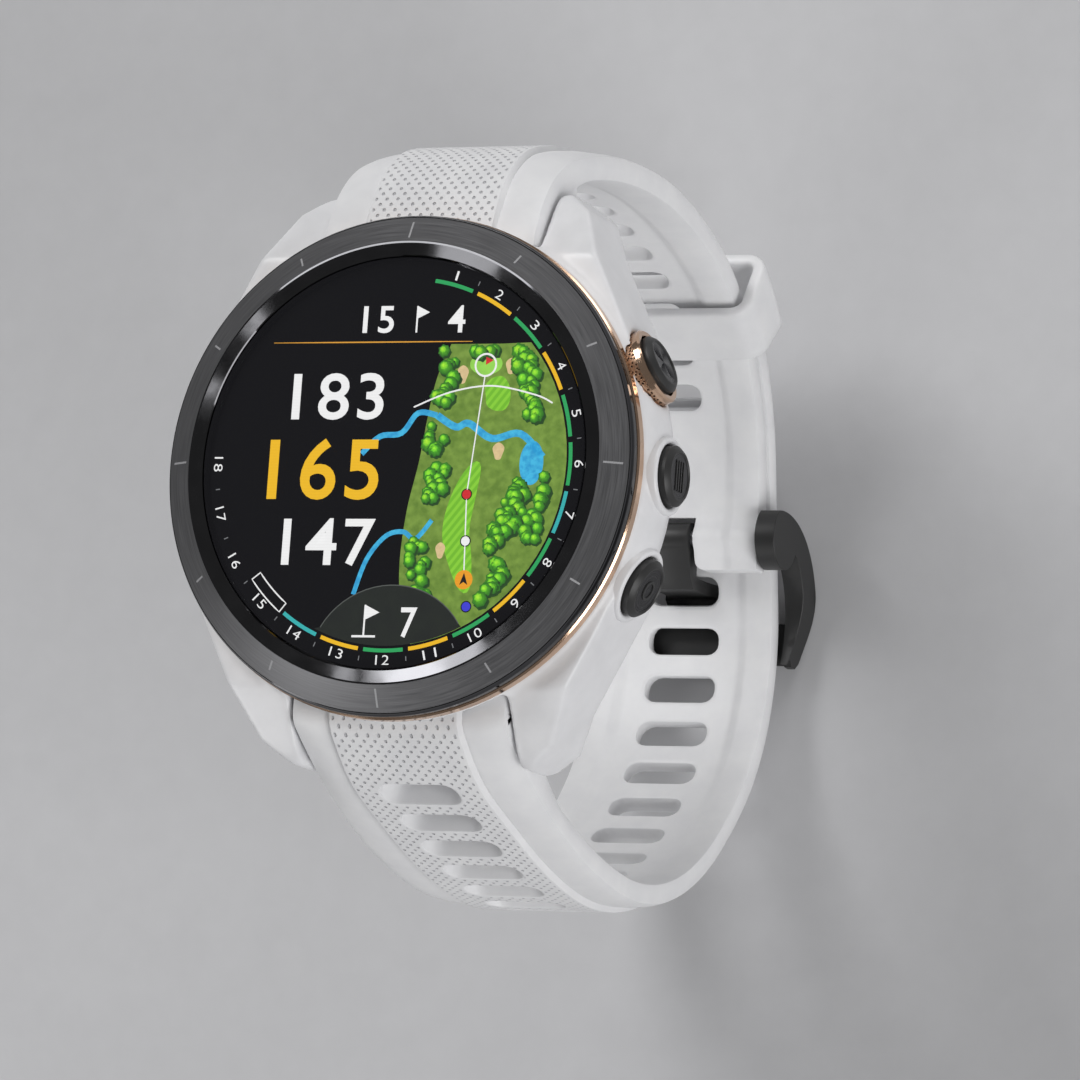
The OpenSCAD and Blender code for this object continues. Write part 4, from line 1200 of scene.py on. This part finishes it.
@dataclass
class Bezel:
    """Bezel ring: polished inner ring, brushed cone with marks, polished side."""

    bore: float = 17.8
    ring: float = 19.0
    edge: float = 21.4
    side: float = 21.6
    top: float = 13.09
    lip: float = 13.0
    cone_bottom: float = 11.85
    bottom: float = 10.8
    skirt: float = 20.2
    foot: float = 9.62
    inside: float = 18.95
    ledge: Pair = (16.5, 11.3)
    mark_mid: float = 20.15
    mark_width: float = 0.17

    def build(self) -> bpy.types.Object:
        """Builds the ring.

        Returns:
            The ring's object.
        """
        draft = Draft("bezel_ring_dressed")
        lip = [(self.bore, self.lip - 0.1), (self.bore + 0.08, self.lip), (self.ring - 0.08, self.top),
               (self.ring + 0.08, self.top - 0.03)]
        cone = [(self.edge - 0.07, self.cone_bottom + 0.06), (self.edge + 0.02, self.cone_bottom + 0.02)]
        flank = [(self.edge + 0.06, self.cone_bottom - 0.1), (self.side - 0.02, self.cone_bottom - 0.3),
                 (self.side, self.cone_bottom - 0.4), (self.side, self.bottom + 0.1), (self.side - 0.1, self.bottom),
                 (self.skirt, self.bottom), (self.skirt, self.foot), (self.inside, self.foot), (self.inside, 10.4),
                 (self.ledge[0], 10.4), self.ledge, (self.bore, self.ledge[1])]
        profile = lip + cone + flank
        zones = [1] * 3 + [0] + [1] * (len(profile) - 4)
        draft.lathe(profile, 240, zones, closed=True)
        return draft.finish([BRUSHED, POLISHED], "watch_head", "bezel_grey", ["bezel_ring"], sharp=8)

    def build_marks(self) -> bpy.types.Object:
        """Builds the twelve light marks on the brushed cone.

        Returns:
            The marks' object.
        """
        draft = Draft("bezel_marks")
        start, end = self.ring + 0.08, self.edge - 0.07
        slope = (self.cone_bottom + 0.06 - (self.top - 0.03)) / (end - start)
        for hour in range(12):
            reach = 0.75 if hour % 3 == 0 else 0.42
            corners = []
            for r, side in ((-reach, -1), (-reach, 1), (reach, 1), (reach, -1)):
                radius = self.mark_mid + r
                x, y = around(radius, 30 * hour)
                across = around(self.mark_width / 2 * side, 30 * hour + 90)
                height = self.top - 0.03 + slope * (radius - start)
                corners.append((x + across[0], y + across[1], height))
            low = [draft.point(x, y, z - 0.05) for x, y, z in corners]
            high = [draft.point(x, y, z + 0.012) for x, y, z in corners]
            draft.bridge(low, high)
            draft.face(low)
            draft.face(high)
        return draft.finish([MARK], "watch_head", "bezel_grey")


@dataclass
class Glass:
    """Cover glass and the black print under its rim."""

    radius: float = 17.7
    top: float = 12.9
    bottom: float = 12.02
    print_top: float = 11.8
    print_bottom: float = 11.62

    def build(self) -> list[bpy.types.Object]:
        """Builds the glass and the black base under it.

        Returns:
            The glass and the base.
        """
        lens = Draft("glass_lens_dressed")
        lens.lathe([(0, self.bottom), (self.radius - 0.02, self.bottom), (self.radius, self.bottom + 0.05),
                    (self.radius, self.top - 0.04), (self.radius - 0.04, self.top), (0, self.top)], 192)
        rim = self.radius - 0.03
        base = Draft("display_base")
        base.lathe([(0, self.print_bottom), (rim, self.print_bottom), (rim, self.print_top),
                    (0, self.print_top)], 128)
        return [lens.finish([GLASS], "watch_head", "cover_glass", ["glass_lens"], sharp=12),
                base.finish([INK], "watch_head", "display_black")]


def lobes(radius: float, turn: float) -> float:
    """Relief of the four-lobed cap face."""
    if radius > 1.85 or radius < 0.05:
        return 0.0
    return -0.2 * (1 - abs(math.cos(2 * turn)) ** 0.7) * math.sin(math.pi * min(1.0, radius / 1.8)) ** 0.5


@dataclass
class Buttons:
    """Turned caps of the three buttons and the pitted collar of the upper one."""

    angle: float = 24.6
    height: float = 6.0
    cap_r: float = 2.6
    cap_in: float = 22.05
    cap_out: float = 23.6
    stem_r: float = 0.8
    stem_in: float = 17.5
    collar: tuple[float, float, float, float] = (2.78, 3.35, 21.0, 22.9)

    def place(self, degrees: float) -> Matrix:
        """Turns a piece drawn along Z so that it points out of the case."""
        return (Matrix.Rotation(math.radians(degrees), 4, "Z") @ Matrix.Translation((0, 0, self.height))
                @ Matrix.Rotation(math.pi / 2, 4, "Y"))

    def mark(self, draft: Draft, name: str, place: Matrix) -> None:
        """Adds the raised bars of the middle cap or the ring of the lower one."""
        top = self.cap_out - 0.02
        if name == "middle":
            for across in (-0.75, -0.25, 0.25, 0.75):
                corners = [(across + dx, dy) for dx, dy in ((-0.1, -1.3), (0.1, -1.3), (0.1, 1.3), (-0.1, 1.3))]
                low = [draft.point(*(place @ Vector((x, y, top - 0.12)))) for x, y in corners]
                high = [draft.point(*(place @ Vector((x * 0.97, y, top)))) for x, y in corners]
                draft.bridge(low, high)
                draft.face(high)
        elif name == "lower":
            draft.lathe([(0.62, top - 0.12), (0.66, top), (0.86, top), (0.9, top - 0.12)], 48, 0, place)

    def build(self) -> list[bpy.types.Object]:
        """Builds caps and collar.

        Returns:
            Their objects.
        """
        made = []
        for name, degrees in (("upper", self.angle), ("middle", 0.0), ("lower", -self.angle)):
            draft = Draft(f"button_{name}_dressed")
            r, out = self.cap_r, self.cap_out
            profile = [(0, self.stem_in), (self.stem_r, self.stem_in), (self.stem_r, self.cap_in), (r, self.cap_in),
                       (r, out - 0.42), (r - 0.1, out - 0.3), (r - 0.38, out - 0.04), (r - 0.46, out),
                       (r - 0.58, out), (r - 0.68, out - 0.1)]
            face = [(radius, out - 0.1) for radius in (1.75, 1.55, 1.35, 1.15, 0.95, 0.75, 0.55, 0.35, 0.15, 0)]
            zones = [0] * 9 + [1] * len(face)
            draft.lathe(profile + face, 96, zones, self.place(degrees), lift=lobes if name == "upper" else None)
            self.mark(draft, name, self.place(degrees))
            made.append(draft.finish([BLACK_METAL, BLACK_SPUN], f"{name}_button", "black_metal", [f"button_{name}"],
                                     sharp=24))
        for name, degrees in (("middle", 0.0), ("lower", -self.angle)):
            draft = Draft(f"button_rim_{name}")
            draft.lathe([(2.72, 20.6), (3.42, 20.6), (3.36, 22.5), (3.26, 22.68), (3.06, 22.76), (2.84, 22.68),
                         (2.72, 22.5)], 96, 0, self.place(degrees), closed=True)
            made.append(draft.finish([SHELL], "watch_head", "case_white", sharp=60))
        low, high, start, stop = self.collar
        draft = Draft("textured_collar_dressed")
        profile = [(low, start), (high, start), (high, stop - 0.62), (high, stop - 0.16), (high - 0.16, stop),
                   (low + 0.06, stop), (low, stop - 0.06)]
        draft.lathe(profile, 120, [1, 0, 1, 1, 1, 1, 1], self.place(self.angle), closed=True)
        made.append(draft.finish([ROSE_PITTED, ROSE], "watch_head", "rose_trim", ["textured_collar"], sharp=30))
        return made


# ---------------------------------------------------------------- display


class Tone(Enum):
    """Colours of the display."""

    WHITE = (246, 246, 246)
    AMBER = (244, 190, 28)
    GREEN = (40, 166, 92)
    TEAL = (52, 178, 178)
    GOLD = (222, 158, 52)
    BLUE = (66, 184, 226)
    SAND = (222, 196, 146)
    RED = (214, 40, 44)
    ORANGE = (240, 160, 30)
    VIOLET = (62, 62, 214)
    GREY = (120, 122, 124)
    DUSK = (22, 27, 22)
    ROUGH = (122, 154, 62)
    LAWN = (134, 204, 52)
    PUTT = (150, 216, 84)
    EDGE = (84, 88, 84)
    BLACK = (6, 6, 7)


@dataclass
class Display:
    """What the display shows: plain numbers, a ring of eighteen numbers and a small plan of a golf hole."""

    base: float = 11.805
    layer: float = 0.014
    rim_r: float = 16.8
    arc_r: Pair = (15.82, 16.16)
    map_r: float = 15.6
    seed: int = 11

    def lit(self, tone: Tone, **details: float) -> Lit:
        """A lit finish in one of the display's colours."""
        return Lit(f"lit_{tone.name.lower()}", colour=shade(*tone.value), **details)

    def draft(self, name: str, level: int) -> tuple[Draft, float]:
        """Starts a flat print at a level and returns it with its height."""
        return Draft(name), self.base + level * self.layer

    def patch(self, draft: Draft, outline: Sequence[Pair], z: float, zone: int = 0) -> None:
        """Adds a flat filled outline that faces up."""
        area = sum(a[0] * b[1] - b[0] * a[1] for a, b in zip(outline, [*outline[1:], outline[0]]))
        spots = outline if area > 0 else list(reversed(outline))
        verts = [draft.point(x, y, z) for x, y in spots]
        edges = [draft.bm.edges.new((a, b)) for a, b in zip(verts, [*verts[1:], verts[0]])]
        made = bmesh.ops.triangle_fill(draft.bm, edges=edges, use_beauty=True, normal=(0, 0, 1))
        for part in made["geom"]:
            if isinstance(part, bmesh.types.BMFace):
                part.material_index = zone
                if part.normal.z < 0:
                    part.normal_flip()

    def ribbon(self, draft: Draft, line: Sequence[Pair], width: float, z: float, zone: int = 0,
               closed: bool = False) -> None:
        """Adds a flat ribbon of a width along a line."""
        count = len(line)
        left, right = [], []
        for i, (x, y) in enumerate(line):
            before = line[i - 1] if i or closed else line[i]
            after = line[(i + 1) % count] if i < count - 1 or closed else line[i]
            dx, dy = after[0] - before[0], after[1] - before[1]
            size = math.hypot(dx, dy) or 1.0
            nx, ny = -dy / size * width / 2, dx / size * width / 2
            left.append(draft.point(x + nx, y + ny, z))
            right.append(draft.point(x - nx, y - ny, z))
        draft.bridge(right, left, closed, zone)

    def ring(self, centre: Pair, radius: float, steps: int = 28) -> list[Pair]:
        """Points of a circle."""
        return [(centre[0] + radius * math.cos(2 * math.pi * k / steps),
                 centre[1] + radius * math.sin(2 * math.pi * k / steps)) for k in range(steps)]

    def curve(self, spots: Sequence[Pair], steps: int = 6) -> list[Pair]:
        """Smooth line through points."""
        out = []
        for i in range(len(spots) - 1):
            p0, p1, p2, p3 = (spots[max(0, min(len(spots) - 1, i + k))] for k in (-1, 0, 1, 2))
            for s in range(steps):
                t = s / steps
                out.append(tuple(0.5 * (2 * b + (c - a) * t + (2 * a - 5 * b + 4 * c - d) * t * t
                                        + (3 * b - a - 3 * c + d) * t**3) for a, b, c, d in zip(p0, p1, p2, p3)))
        return out + [spots[-1]]

    def figures(self, draft: Draft, text: str, centre: Pair, size: Pair, z: float, turn: float = 0.0,
                weight: float = 0.0, zone: int = 0) -> None:
        """Adds plain figures, turned into a mesh and fitted to a width and height.

        Args:
            draft: mesh being built.
            text: the figures.
            centre: middle of the figures.
            size: width, or 0 for the font's own, and height.
            z: height over the back.
            turn: turn in degrees, anticlockwise.
            weight: how much the strokes are thickened.
            zone: material index.
        """
        curve = bpy.data.curves.new("figures", "FONT")
        curve.body, curve.size, curve.offset, curve.resolution_u = text, 1.0, weight, 5
        curve.space_character = 1.12
        carrier = bpy.data.objects.new("figures", curve)
        bpy.context.scene.collection.objects.link(carrier)
        bpy.context.view_layer.update()
        mesh = bpy.data.meshes.new_from_object(carrier.evaluated_get(bpy.context.evaluated_depsgraph_get()))
        xs, ys = [v.co.x for v in mesh.vertices], [v.co.y for v in mesh.vertices]
        high = size[1] / (max(ys) - min(ys))
        wide = size[0] / (max(xs) - min(xs)) if size[0] else high * 0.86
        mid_x, mid_y = (max(xs) + min(xs)) / 2, (max(ys) + min(ys)) / 2
        cos, sin = math.cos(math.radians(turn)), math.sin(math.radians(turn))
        verts = []
        for v in mesh.vertices:
            x, y = (v.co.x - mid_x) * wide, (v.co.y - mid_y) * high
            verts.append(draft.point(centre[0] + x * cos - y * sin, centre[1] + x * sin + y * cos, z))
        for polygon in mesh.polygons:
            corners = [verts[i] for i in polygon.vertices]
            draft.face(corners if polygon.normal.z > 0 else list(reversed(corners)), zone)
        bpy.data.objects.remove(carrier)
        bpy.data.curves.remove(curve)
        bpy.data.meshes.remove(mesh)

    def done(self, draft: Draft, finishes: Sequence[Finish]) -> bpy.types.Object:
        """Hands a flat print to the head."""
        return draft.finish(finishes, "watch_head", "display_black", flat=True)

    def build_numbers(self) -> None:
        """The three distances, the heading and its line."""
        draft, z = self.draft("distance_figures", 9)
        self.figures(draft, "183", (-5.95, 5.86), (8.6, 4.05), z, weight=0.011)
        self.figures(draft, "165", (-6.8, -0.43), (10.4, 5.3), z, weight=0.011, zone=1)
        self.figures(draft, "147", (-5.86, -6.72), (8.6, 4.1), z, weight=0.011)
        self.figures(draft, "15", (-2.7, 12.5), (2.9, 2.35), z, weight=0.012)
        self.figures(draft, "4", (4.6, 12.5), (1.6, 2.35), z, weight=0.012)
        self.flag(draft, (0.9, 11.35), 2.3, z)
        self.done(draft, [self.lit(Tone.WHITE), self.lit(Tone.AMBER)])
        line, z = self.draft("heading_line", 9)
        spots = [(-12.4 + 18.6 * k / 20, 10.55) for k in range(21)]
        for k in range(20):
            share = math.sin(math.pi * (k + 0.5) / 20)
            self.ribbon(line, spots[k:k + 2], 0.05 + 0.07 * share, z)
        self.done(line, [self.lit(Tone.GOLD)])

    def flag(self, draft: Draft, foot: Pair, height: float, z: float, zone: int = 0) -> None:
        """Adds a plain flag on a pole."""
        x, y = foot
        self.ribbon(draft, [(x, y), (x, y + height)], 0.16, z, zone)
        self.patch(draft, [(x, y + height), (x, y + height * 0.52), (x + height * 0.5, y + height * 0.76)], z, zone)

    def build_ring(self) -> None:
        """The ring of numbers, its small marks and the coloured arcs."""
        draft, z = self.draft("rim_numbers", 9)
        for number in range(1, 19):
            degrees = 15.0 * number
            upright = number > 8
            turn = -degrees + (180 if upright else 0)
            wide = 0.62 if number < 10 else 1.25
            self.figures(draft, str(number), around(self.rim_r, degrees), (wide if number != 1 else 0.2, 0.82), z, turn,
                         weight=-0.004)
            if number < 18:
                self.ribbon(draft, [around(self.rim_r - 0.2, degrees + 7.5), around(self.rim_r + 0.2, degrees + 7.5)],
                            0.09, z, 1)
        self.done(draft, [self.lit(Tone.WHITE), self.lit(Tone.GREY)])
        arcs, z = self.draft("rim_arcs", 8)
        plan = {1: 0, 2: 1, 3: 0, 4: 1, 5: 0, 6: 0, 7: 2, 8: 0, 9: 1, 10: 0, 11: 1, 12: 0, 13: 1, 14: 2}
        middle, width = sum(self.arc_r) / 2, self.arc_r[1] - self.arc_r[0]
        for number, zone in plan.items():
            line = [around(middle, 15 * number - 6.6 + 13.2 * k / 12) for k in range(13)]
            self.ribbon(arcs, line, width, z, zone)
        low, high = middle - 0.75, middle + 0.2
        box = [around(high, 218 + 14 * k / 8) for k in range(9)] + [around(low, 232 - 14 * k / 8) for k in range(9)]
        self.ribbon(arcs, box, 0.12, z, 3, closed=True)
        self.done(arcs, [self.lit(Tone.GREEN), self.lit(Tone.AMBER), self.lit(Tone.TEAL), self.lit(Tone.WHITE)])

    def build_plan(self) -> None:
        """The plan of the hole: rough, fairways, green, sand and water."""
        ground, z = self.draft("plan_ground", 1)
        edge = self.curve([(4.2, 10.35), (3.1, 7.4), (2.5, 4.0), (2.0, 0.2), (1.2, -4.0), (0.9, -8.5), (1.3, -12.0),
                           (2.4, -15.3)])
        arc = [around(self.map_r, 171 - 123 * k / 24) for k in range(25)]
        self.patch(ground, edge + arc + [(9.0, 10.35)], z)
        self.done(ground, [self.lit(Tone.ROUGH, second=shade(96, 128, 44), speckle=0.9)])
        water, z = self.draft("plan_water", 2)
        for line, width in (([(-3.4, 0.9), (-1.8, 2.4), (0.2, 2.7), (1.6, 4.4), (3.4, 4.2)], 0.5),
                            ([(3.4, 4.2), (5.2, 3.2), (6.4, 3.5), (8.6, 2.2), (11.2, 2.6), (13.4, 0.6)], 0.62),
                            ([(-3.2, -11.2), (-2.2, -8.2), (-0.6, -6.2), (1.0, -5.8), (2.2, -6.4), (3.6, -4.8)], 0.42)):
            self.ribbon(water, self.curve(line), width, z)
        self.patch(water, [(12.4 + 1.1 * math.cos(a / 4), 0.1 + 1.9 * math.sin(a / 4)) for a in range(25)], z)
        self.done(water, [self.lit(Tone.BLUE, second=shade(40, 150, 204), speckle=0.5)])
        lawn, z = self.draft("plan_fairways", 3)
        for line, low, high in (([(7.2, -11.0), (6.5, -8.4), (5.9, -5.6), (6.5, -2.4), (7.5, 0.2)], 1.5, 2.5),
                                ([(8.7, 4.6), (8.9, 6.0), (8.3, 7.4)], 1.9, 2.3)):
            spots = self.curve(line)
            self.patch(lawn, self.sausage(spots, low, high), z)
        self.done(lawn, [self.lit(Tone.LAWN, second=shade(112, 184, 40), stripe=0.55)])
        green, z = self.draft("plan_green", 4)
        self.patch(green, [(7.6 + 1.5 * math.cos(a / 5), 8.6 + 0.95 * math.sin(a / 5)) for a in range(31)], z)
        self.done(green, [self.lit(Tone.PUTT, speckle=0.9)])
        sand, z = self.draft("plan_sand", 5)
        for x, y, wide, high in ((5.5, 7.7, 0.5, 0.8), (9.9, 8.4, 0.45, 0.7), (9.3, 1.1, 0.5, 0.75), (4.6, -7.4, 0.42,
                                                                                                      0.7)):
            self.patch(sand, [(x + wide * math.cos(a / 4) * (1 + 0.18 * math.sin(a * 0.75)), y + high * math.sin(a / 4))
                              for a in range(25)], z)
        self.done(sand, [self.lit(Tone.SAND, speckle=0.3)])

    def sausage(self, line: Sequence[Pair], low: float, high: float) -> list[Pair]:
        """Outline round a line, widest in its middle and round at its ends."""
        left, right = [], []
        last = len(line) - 1
        for i, (x, y) in enumerate(line):
            ahead, behind = line[min(last, i + 1)], line[max(0, i - 1)]
            dx, dy = ahead[0] - behind[0], ahead[1] - behind[1]
            size = math.hypot(dx, dy)
            share = i / last
            width = (low + (high - low) * math.sin(math.pi * share)) / 2 * math.sqrt(max(0.05,
                                                                                         1 - (2 * share - 1) ** 4))
            left.append((x - dy / size * width, y + dx / size * width))
            right.append((x + dy / size * width, y - dx / size * width))
        return left + list(reversed(right))

    def build_trees(self) -> None:
        """Clumps of trees, each with a lit side and a shadow."""
        draft, z = self.draft("plan_trees", 5)
        random.seed(self.seed)
        spots: list[tuple[float, float, float]] = []
        lanes = (([(4.2, 9.4), (3.9, 6.8), (3.9, 5.0)], 0.7, 14), ([(3.4, 2.6), (3.7, -0.6), (3.4, -3.4)], 0.8, 24),
                 ([(2.4, -7.0), (2.7, -9.8), (3.4, -11.8)], 0.8, 20), ([(11.0, 9.2), (12.0, 6.4), (11.6, 4.0)], 1.0,
                                                                       30),
                 ([(11.9, -2.4), (10.6, -4.8), (9.6, -7.6)], 1.1, 34), ([(10.2, -9.0), (9.0, -11.2)], 0.7, 14),
                 ([(13.8, -1.6), (12.6, -6.4)], 0.6, 14), ([(5.9, 9.7), (9.4, 9.8)], 0.25, 6))
        for line, spread, count in lanes:
            track = self.curve(line)
            for _ in range(count):
                x, y = random.choice(track)
                x, y = x + random.uniform(-spread, spread), y + random.uniform(-spread, spread)
                size = random.uniform(0.42, 0.7)
                if math.hypot(x, y) + size < self.map_r - 0.1 and y + size < 10.4:
                    spots.append((x, y, size))
        spots.sort(key=lambda s: -s[1])
        lift = self.layer * 3.4 / max(1, len(spots))
        for index, (x, y, size) in enumerate(spots):
            self.tree(draft, x, y, size, z + index * lift)
        draft.finish([Tinted("lit_trees")], "watch_head", "display_black", flat=True)

    def tree(self, draft: Draft, x: float, y: float, size: float, z: float) -> None:
        """Adds one tree seen from above.

        Args:
            draft: mesh being built.
            x: its place along X.
            y: its place along Y.
            size: its radius.
            z: height over the back.
        """
        steps = 14
        warm = random.uniform(-14, 14)
        light, mid, dark = shade(166 + warm, 236, 52), shade(92 + warm / 2, 184, 34), shade(34, 100, 22)
        wobble = [size * (1 + 0.1 * math.sin(3 * k + size * 40)) for k in range(steps)]

        def disc(dx: float, dy: float, grow: float, level: float, core: tuple, rim: tuple, off: float) -> None:
            """Adds a disc with a bright core set off its middle."""
            hub = draft.point(x + dx - off, y + dy + off, level)
            ring = [draft.point(x + dx + wobble[k] * grow * math.cos(2 * math.pi * k / steps),
                                y + dy + wobble[k] * grow * math.sin(2 * math.pi * k / steps),
                                level) for k in range(steps)]
            for k in range(steps):
                draft.paint([hub, ring[k], ring[(k + 1) % steps]], [core, rim, rim])

        disc(size * 0.28, -size * 0.32, 1.05, z, shade(18, 46, 14), shade(30, 70, 22), 0.0)
        disc(0.0, 0.0, 1.0, z + 0.0003, mid, dark, size * 0.2)
        disc(-size * 0.2, size * 0.22, 0.52, z + 0.0006, light, mid, size * 0.12)

    def build_markers(self) -> None:
        """Line of play, distance arc, target and markers."""
        draft, z = self.draft("plan_markers", 10)
        self.ribbon(draft, [(7.0, -9.8), (6.7, -2.6), (7.6, 7.6)], 0.11, z)
        self.ribbon(draft, self.curve([(1.2, 4.9), (4.6, 6.2), (8.4, 6.7), (12.4, 5.9), (14.0, 5.2)]), 0.14, z)
        self.ribbon(draft, self.ring((7.6, 8.5), 0.95, 36), 0.17, z, closed=True)
        for centre, zone in (((6.7, -2.6), 1), ((6.9, -6.6), 2), ((7.4, -12.2), 3)):
            self.patch(draft, self.ring(centre, 0.5), z, 4)
            self.patch(draft, self.ring(centre, 0.4), z + 0.004, zone)
        self.patch(draft, self.ring((7.0, -9.9), 0.82), z + 0.002, 5)
        self.patch(draft, [(7.0, -9.3), (6.62, -10.35), (7.0, -10.1), (7.38, -10.35)], z + 0.006, 4)
        self.patch(draft, [(7.6, 8.5), (7.6, 9.2), (8.3, 8.9)], z + 0.004, 1)
        self.done(draft, [self.lit(Tone.WHITE), self.lit(Tone.RED), self.lit(Tone.WHITE), self.lit(Tone.VIOLET),
                          self.lit(Tone.BLACK), self.lit(Tone.ORANGE)])

    def build_footer(self) -> None:
        """Dark dome at the foot of the display with a flag and a figure."""
        draft, z = self.draft("footer_dome", 11)
        top = [(0.55 + 7.4 * math.cos(math.radians(a)), -17.3 + 6.9 * math.sin(math.radians(a))) for a in range(14,
                                                                                                                167, 6)]
        low = [around(self.map_r, 205 - 52 * k / 20) for k in range(21)]
        inside = [p for p in top if math.hypot(*p) < self.map_r]
        self.patch(draft, inside + low, z)
        self.done(draft, [self.lit(Tone.DUSK, second=shade(26, 32, 24), speckle=1.6)])
        edge, z = self.draft("footer_edge", 12)
        self.ribbon(edge, inside, 0.09, z)
        self.done(edge, [self.lit(Tone.EDGE)])
        signs, z = self.draft("footer_signs", 12)
        self.flag(signs, (-1.9, -14.8), 2.7, z)
        self.ribbon(signs, [(-3.0, -14.8), (-0.8, -14.8)], 0.18, z)
        self.figures(signs, "7", (2.2, -13.6), (1.5, 2.6), z, weight=0.012)
        self.done(signs, [self.lit(Tone.WHITE)])

    def build(self) -> None:
        """Builds every print of the display."""
        self.build_plan()
        self.build_trees()
        self.build_markers()
        self.build_ring()
        self.build_numbers()
        self.build_footer()


# ---------------------------------------------------------------- studio


@dataclass
class Studio:
    """Floor, lamps and camera."""

    eye: Triple = (253.4, -99.6, 554.1)
    right: Triple = (0.91677192, 0.07088006, -0.39307158)
    up: Triple = (-0.00304902, 0.98534104, 0.17056888)
    back: Triple = (0.39939949, -0.15517427, 0.90354911)
    lens: float = 238.646
    floor_z: float = -58.3
    world: float = 0.16
    glints: tuple[Pair, ...] = ((172.0, 12.0), (189.0, 4.0), (18.0, 13.0), (311.0, 4.0), (290.0, 3.0))
    glint_reach: float = 900.0
    glint_power: float = 14.5e-6

    def build(self) -> None:
        """Sets floor, world, lamps and camera."""
        scene = bpy.context.scene
        scene.view_settings.view_transform = "Standard"
        self.lay_floor()
        world = bpy.data.worlds.new("studio")
        world.use_nodes = True
        back = world.node_tree.nodes["Background"]
        back.inputs["Color"].default_value = (1.0, 1.0, 1.0, 1.0)
        back.inputs["Strength"].default_value = self.world
        scene.world = world
        self.lamp("key", (-400, 520, 740), 460, 4.8)
        self.lamp("fill", (660, -400, 380), 520, 4.4)
        self.lamp("rim", (260, 640, 260), 360, 1.2)
        self.lamp("side", (-560, -600, 330), 420, 1.6)
        for degrees, span in self.glints:
            self.glint(degrees, span)
        camera = bpy.data.cameras.new("camera")
        camera.lens, camera.sensor_width = self.lens, 36.0
        camera.clip_start, camera.clip_end = 0.01, 20.0
        eye = bpy.data.objects.new("camera", camera)
        turn = Matrix((self.right, self.up, self.back)).transposed()
        eye.matrix_world = Matrix.Translation(Vector(self.eye) * MM) @ turn.to_4x4()
        scene.collection.objects.link(eye)
        scene.camera = eye

    def lay_floor(self) -> None:
        """A wide plain floor under the strap."""
        bm = bmesh.new()
        half = 4.0
        corners = [bm.verts.new((x * half, y * half, self.floor_z * MM)) for x, y in ((-1, -1), (1, -1), (1, 1), (-1,
                                                                                                                  1))]
        bm.faces.new(corners)
        mesh = bpy.data.meshes.new("floor")
        bm.to_mesh(mesh)
        bm.free()
        mesh.materials.append(FLOOR.material())
        floor = bpy.data.objects.new("floor", mesh)
        bpy.context.scene.collection.objects.link(floor)

    def glint(self, degrees: float, span: float) -> None:
        """Adds a small lamp whose mirror image lies on the polished ring.

        Args:
            degrees: place of the image, clockwise from 12 o'clock.
            span: degrees of the ring that the image covers.
        """
        tilt = math.atan2(Bezel.top - Bezel.lip, Bezel.ring - Bezel.bore - LIP_ROUNDING)
        x, y = around((Bezel.ring + Bezel.bore) / 2, degrees)
        spot = Vector((x, y, Bezel.top))
        normal = Vector((-math.sin(tilt) * x, -math.sin(tilt) * y, math.cos(tilt) * math.hypot(x, y))).normalized()
        sight = (Vector(self.eye) - spot).normalized()
        bounce = 2 * normal.dot(sight) * normal - sight
        size = 2 * tilt * math.radians(span) * self.glint_reach
        self.lamp(f"glint_{degrees:.0f}", tuple(spot + bounce * self.glint_reach), size, self.glint_power * size**2)

    def lamp(self, name: str, spot: Triple, size: float, watts: float) -> None:
        """Adds a square soft lamp that faces the watch.

        Args:
            name: name of the lamp.
            spot: its place in millimetres.
            size: side of its square in millimetres.
            watts: its power.
        """
        light = bpy.data.lights.new(name, "AREA")
        light.shape, light.size, light.energy = "SQUARE", size * MM, watts
        lamp = bpy.data.objects.new(name, light)
        place = Vector(spot) * MM
        lamp.location = place
        lamp.rotation_mode = "QUATERNION"
        lamp.rotation_quaternion = (Vector((0, 0, -0.02)) - place).to_track_quat("-Z", "Y")
        bpy.context.scene.collection.objects.link(lamp)


def squash_springs() -> None:
    """Gives each button spring and each release spring a mesh of its own."""
    for side, degrees in (("upper", Buttons.angle), ("middle", 0.0), ("lower", -Buttons.angle)):
        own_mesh(frame["nodes"][f"button_spring_{side}"])
    for side in ("upper", "lower"):
        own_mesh(frame["nodes"][f"release_spring_{side}"])


def clear_start() -> None:
    """Removes whatever the empty file brought along."""
    known = {*frame["nodes"].values(), *frame["bodies"].values()}
    for thing in list(bpy.data.objects):
        if thing not in known:
            bpy.data.objects.remove(thing)


def main() -> None:
    """Builds the watch and its studio in order."""
    logging.basicConfig(level=logging.INFO, format="%(message)s")
    clear_start()
    Studio().build()
    for name, (finish, slot) in NODE_FINISHES.items():
        dress_node(name, finish)
    bezel = Bezel()
    bezel.build()
    bezel.build_marks()
    Glass().build()
    Buttons().build()
    Display().build()
    upper_half().build()
    lower_half().build()
    Keeper().build()
    buckle = Buckle()
    buckle.build_frame()
    buckle.build_tongue()
    squash_springs()


if __name__ == "__main__":
    main()
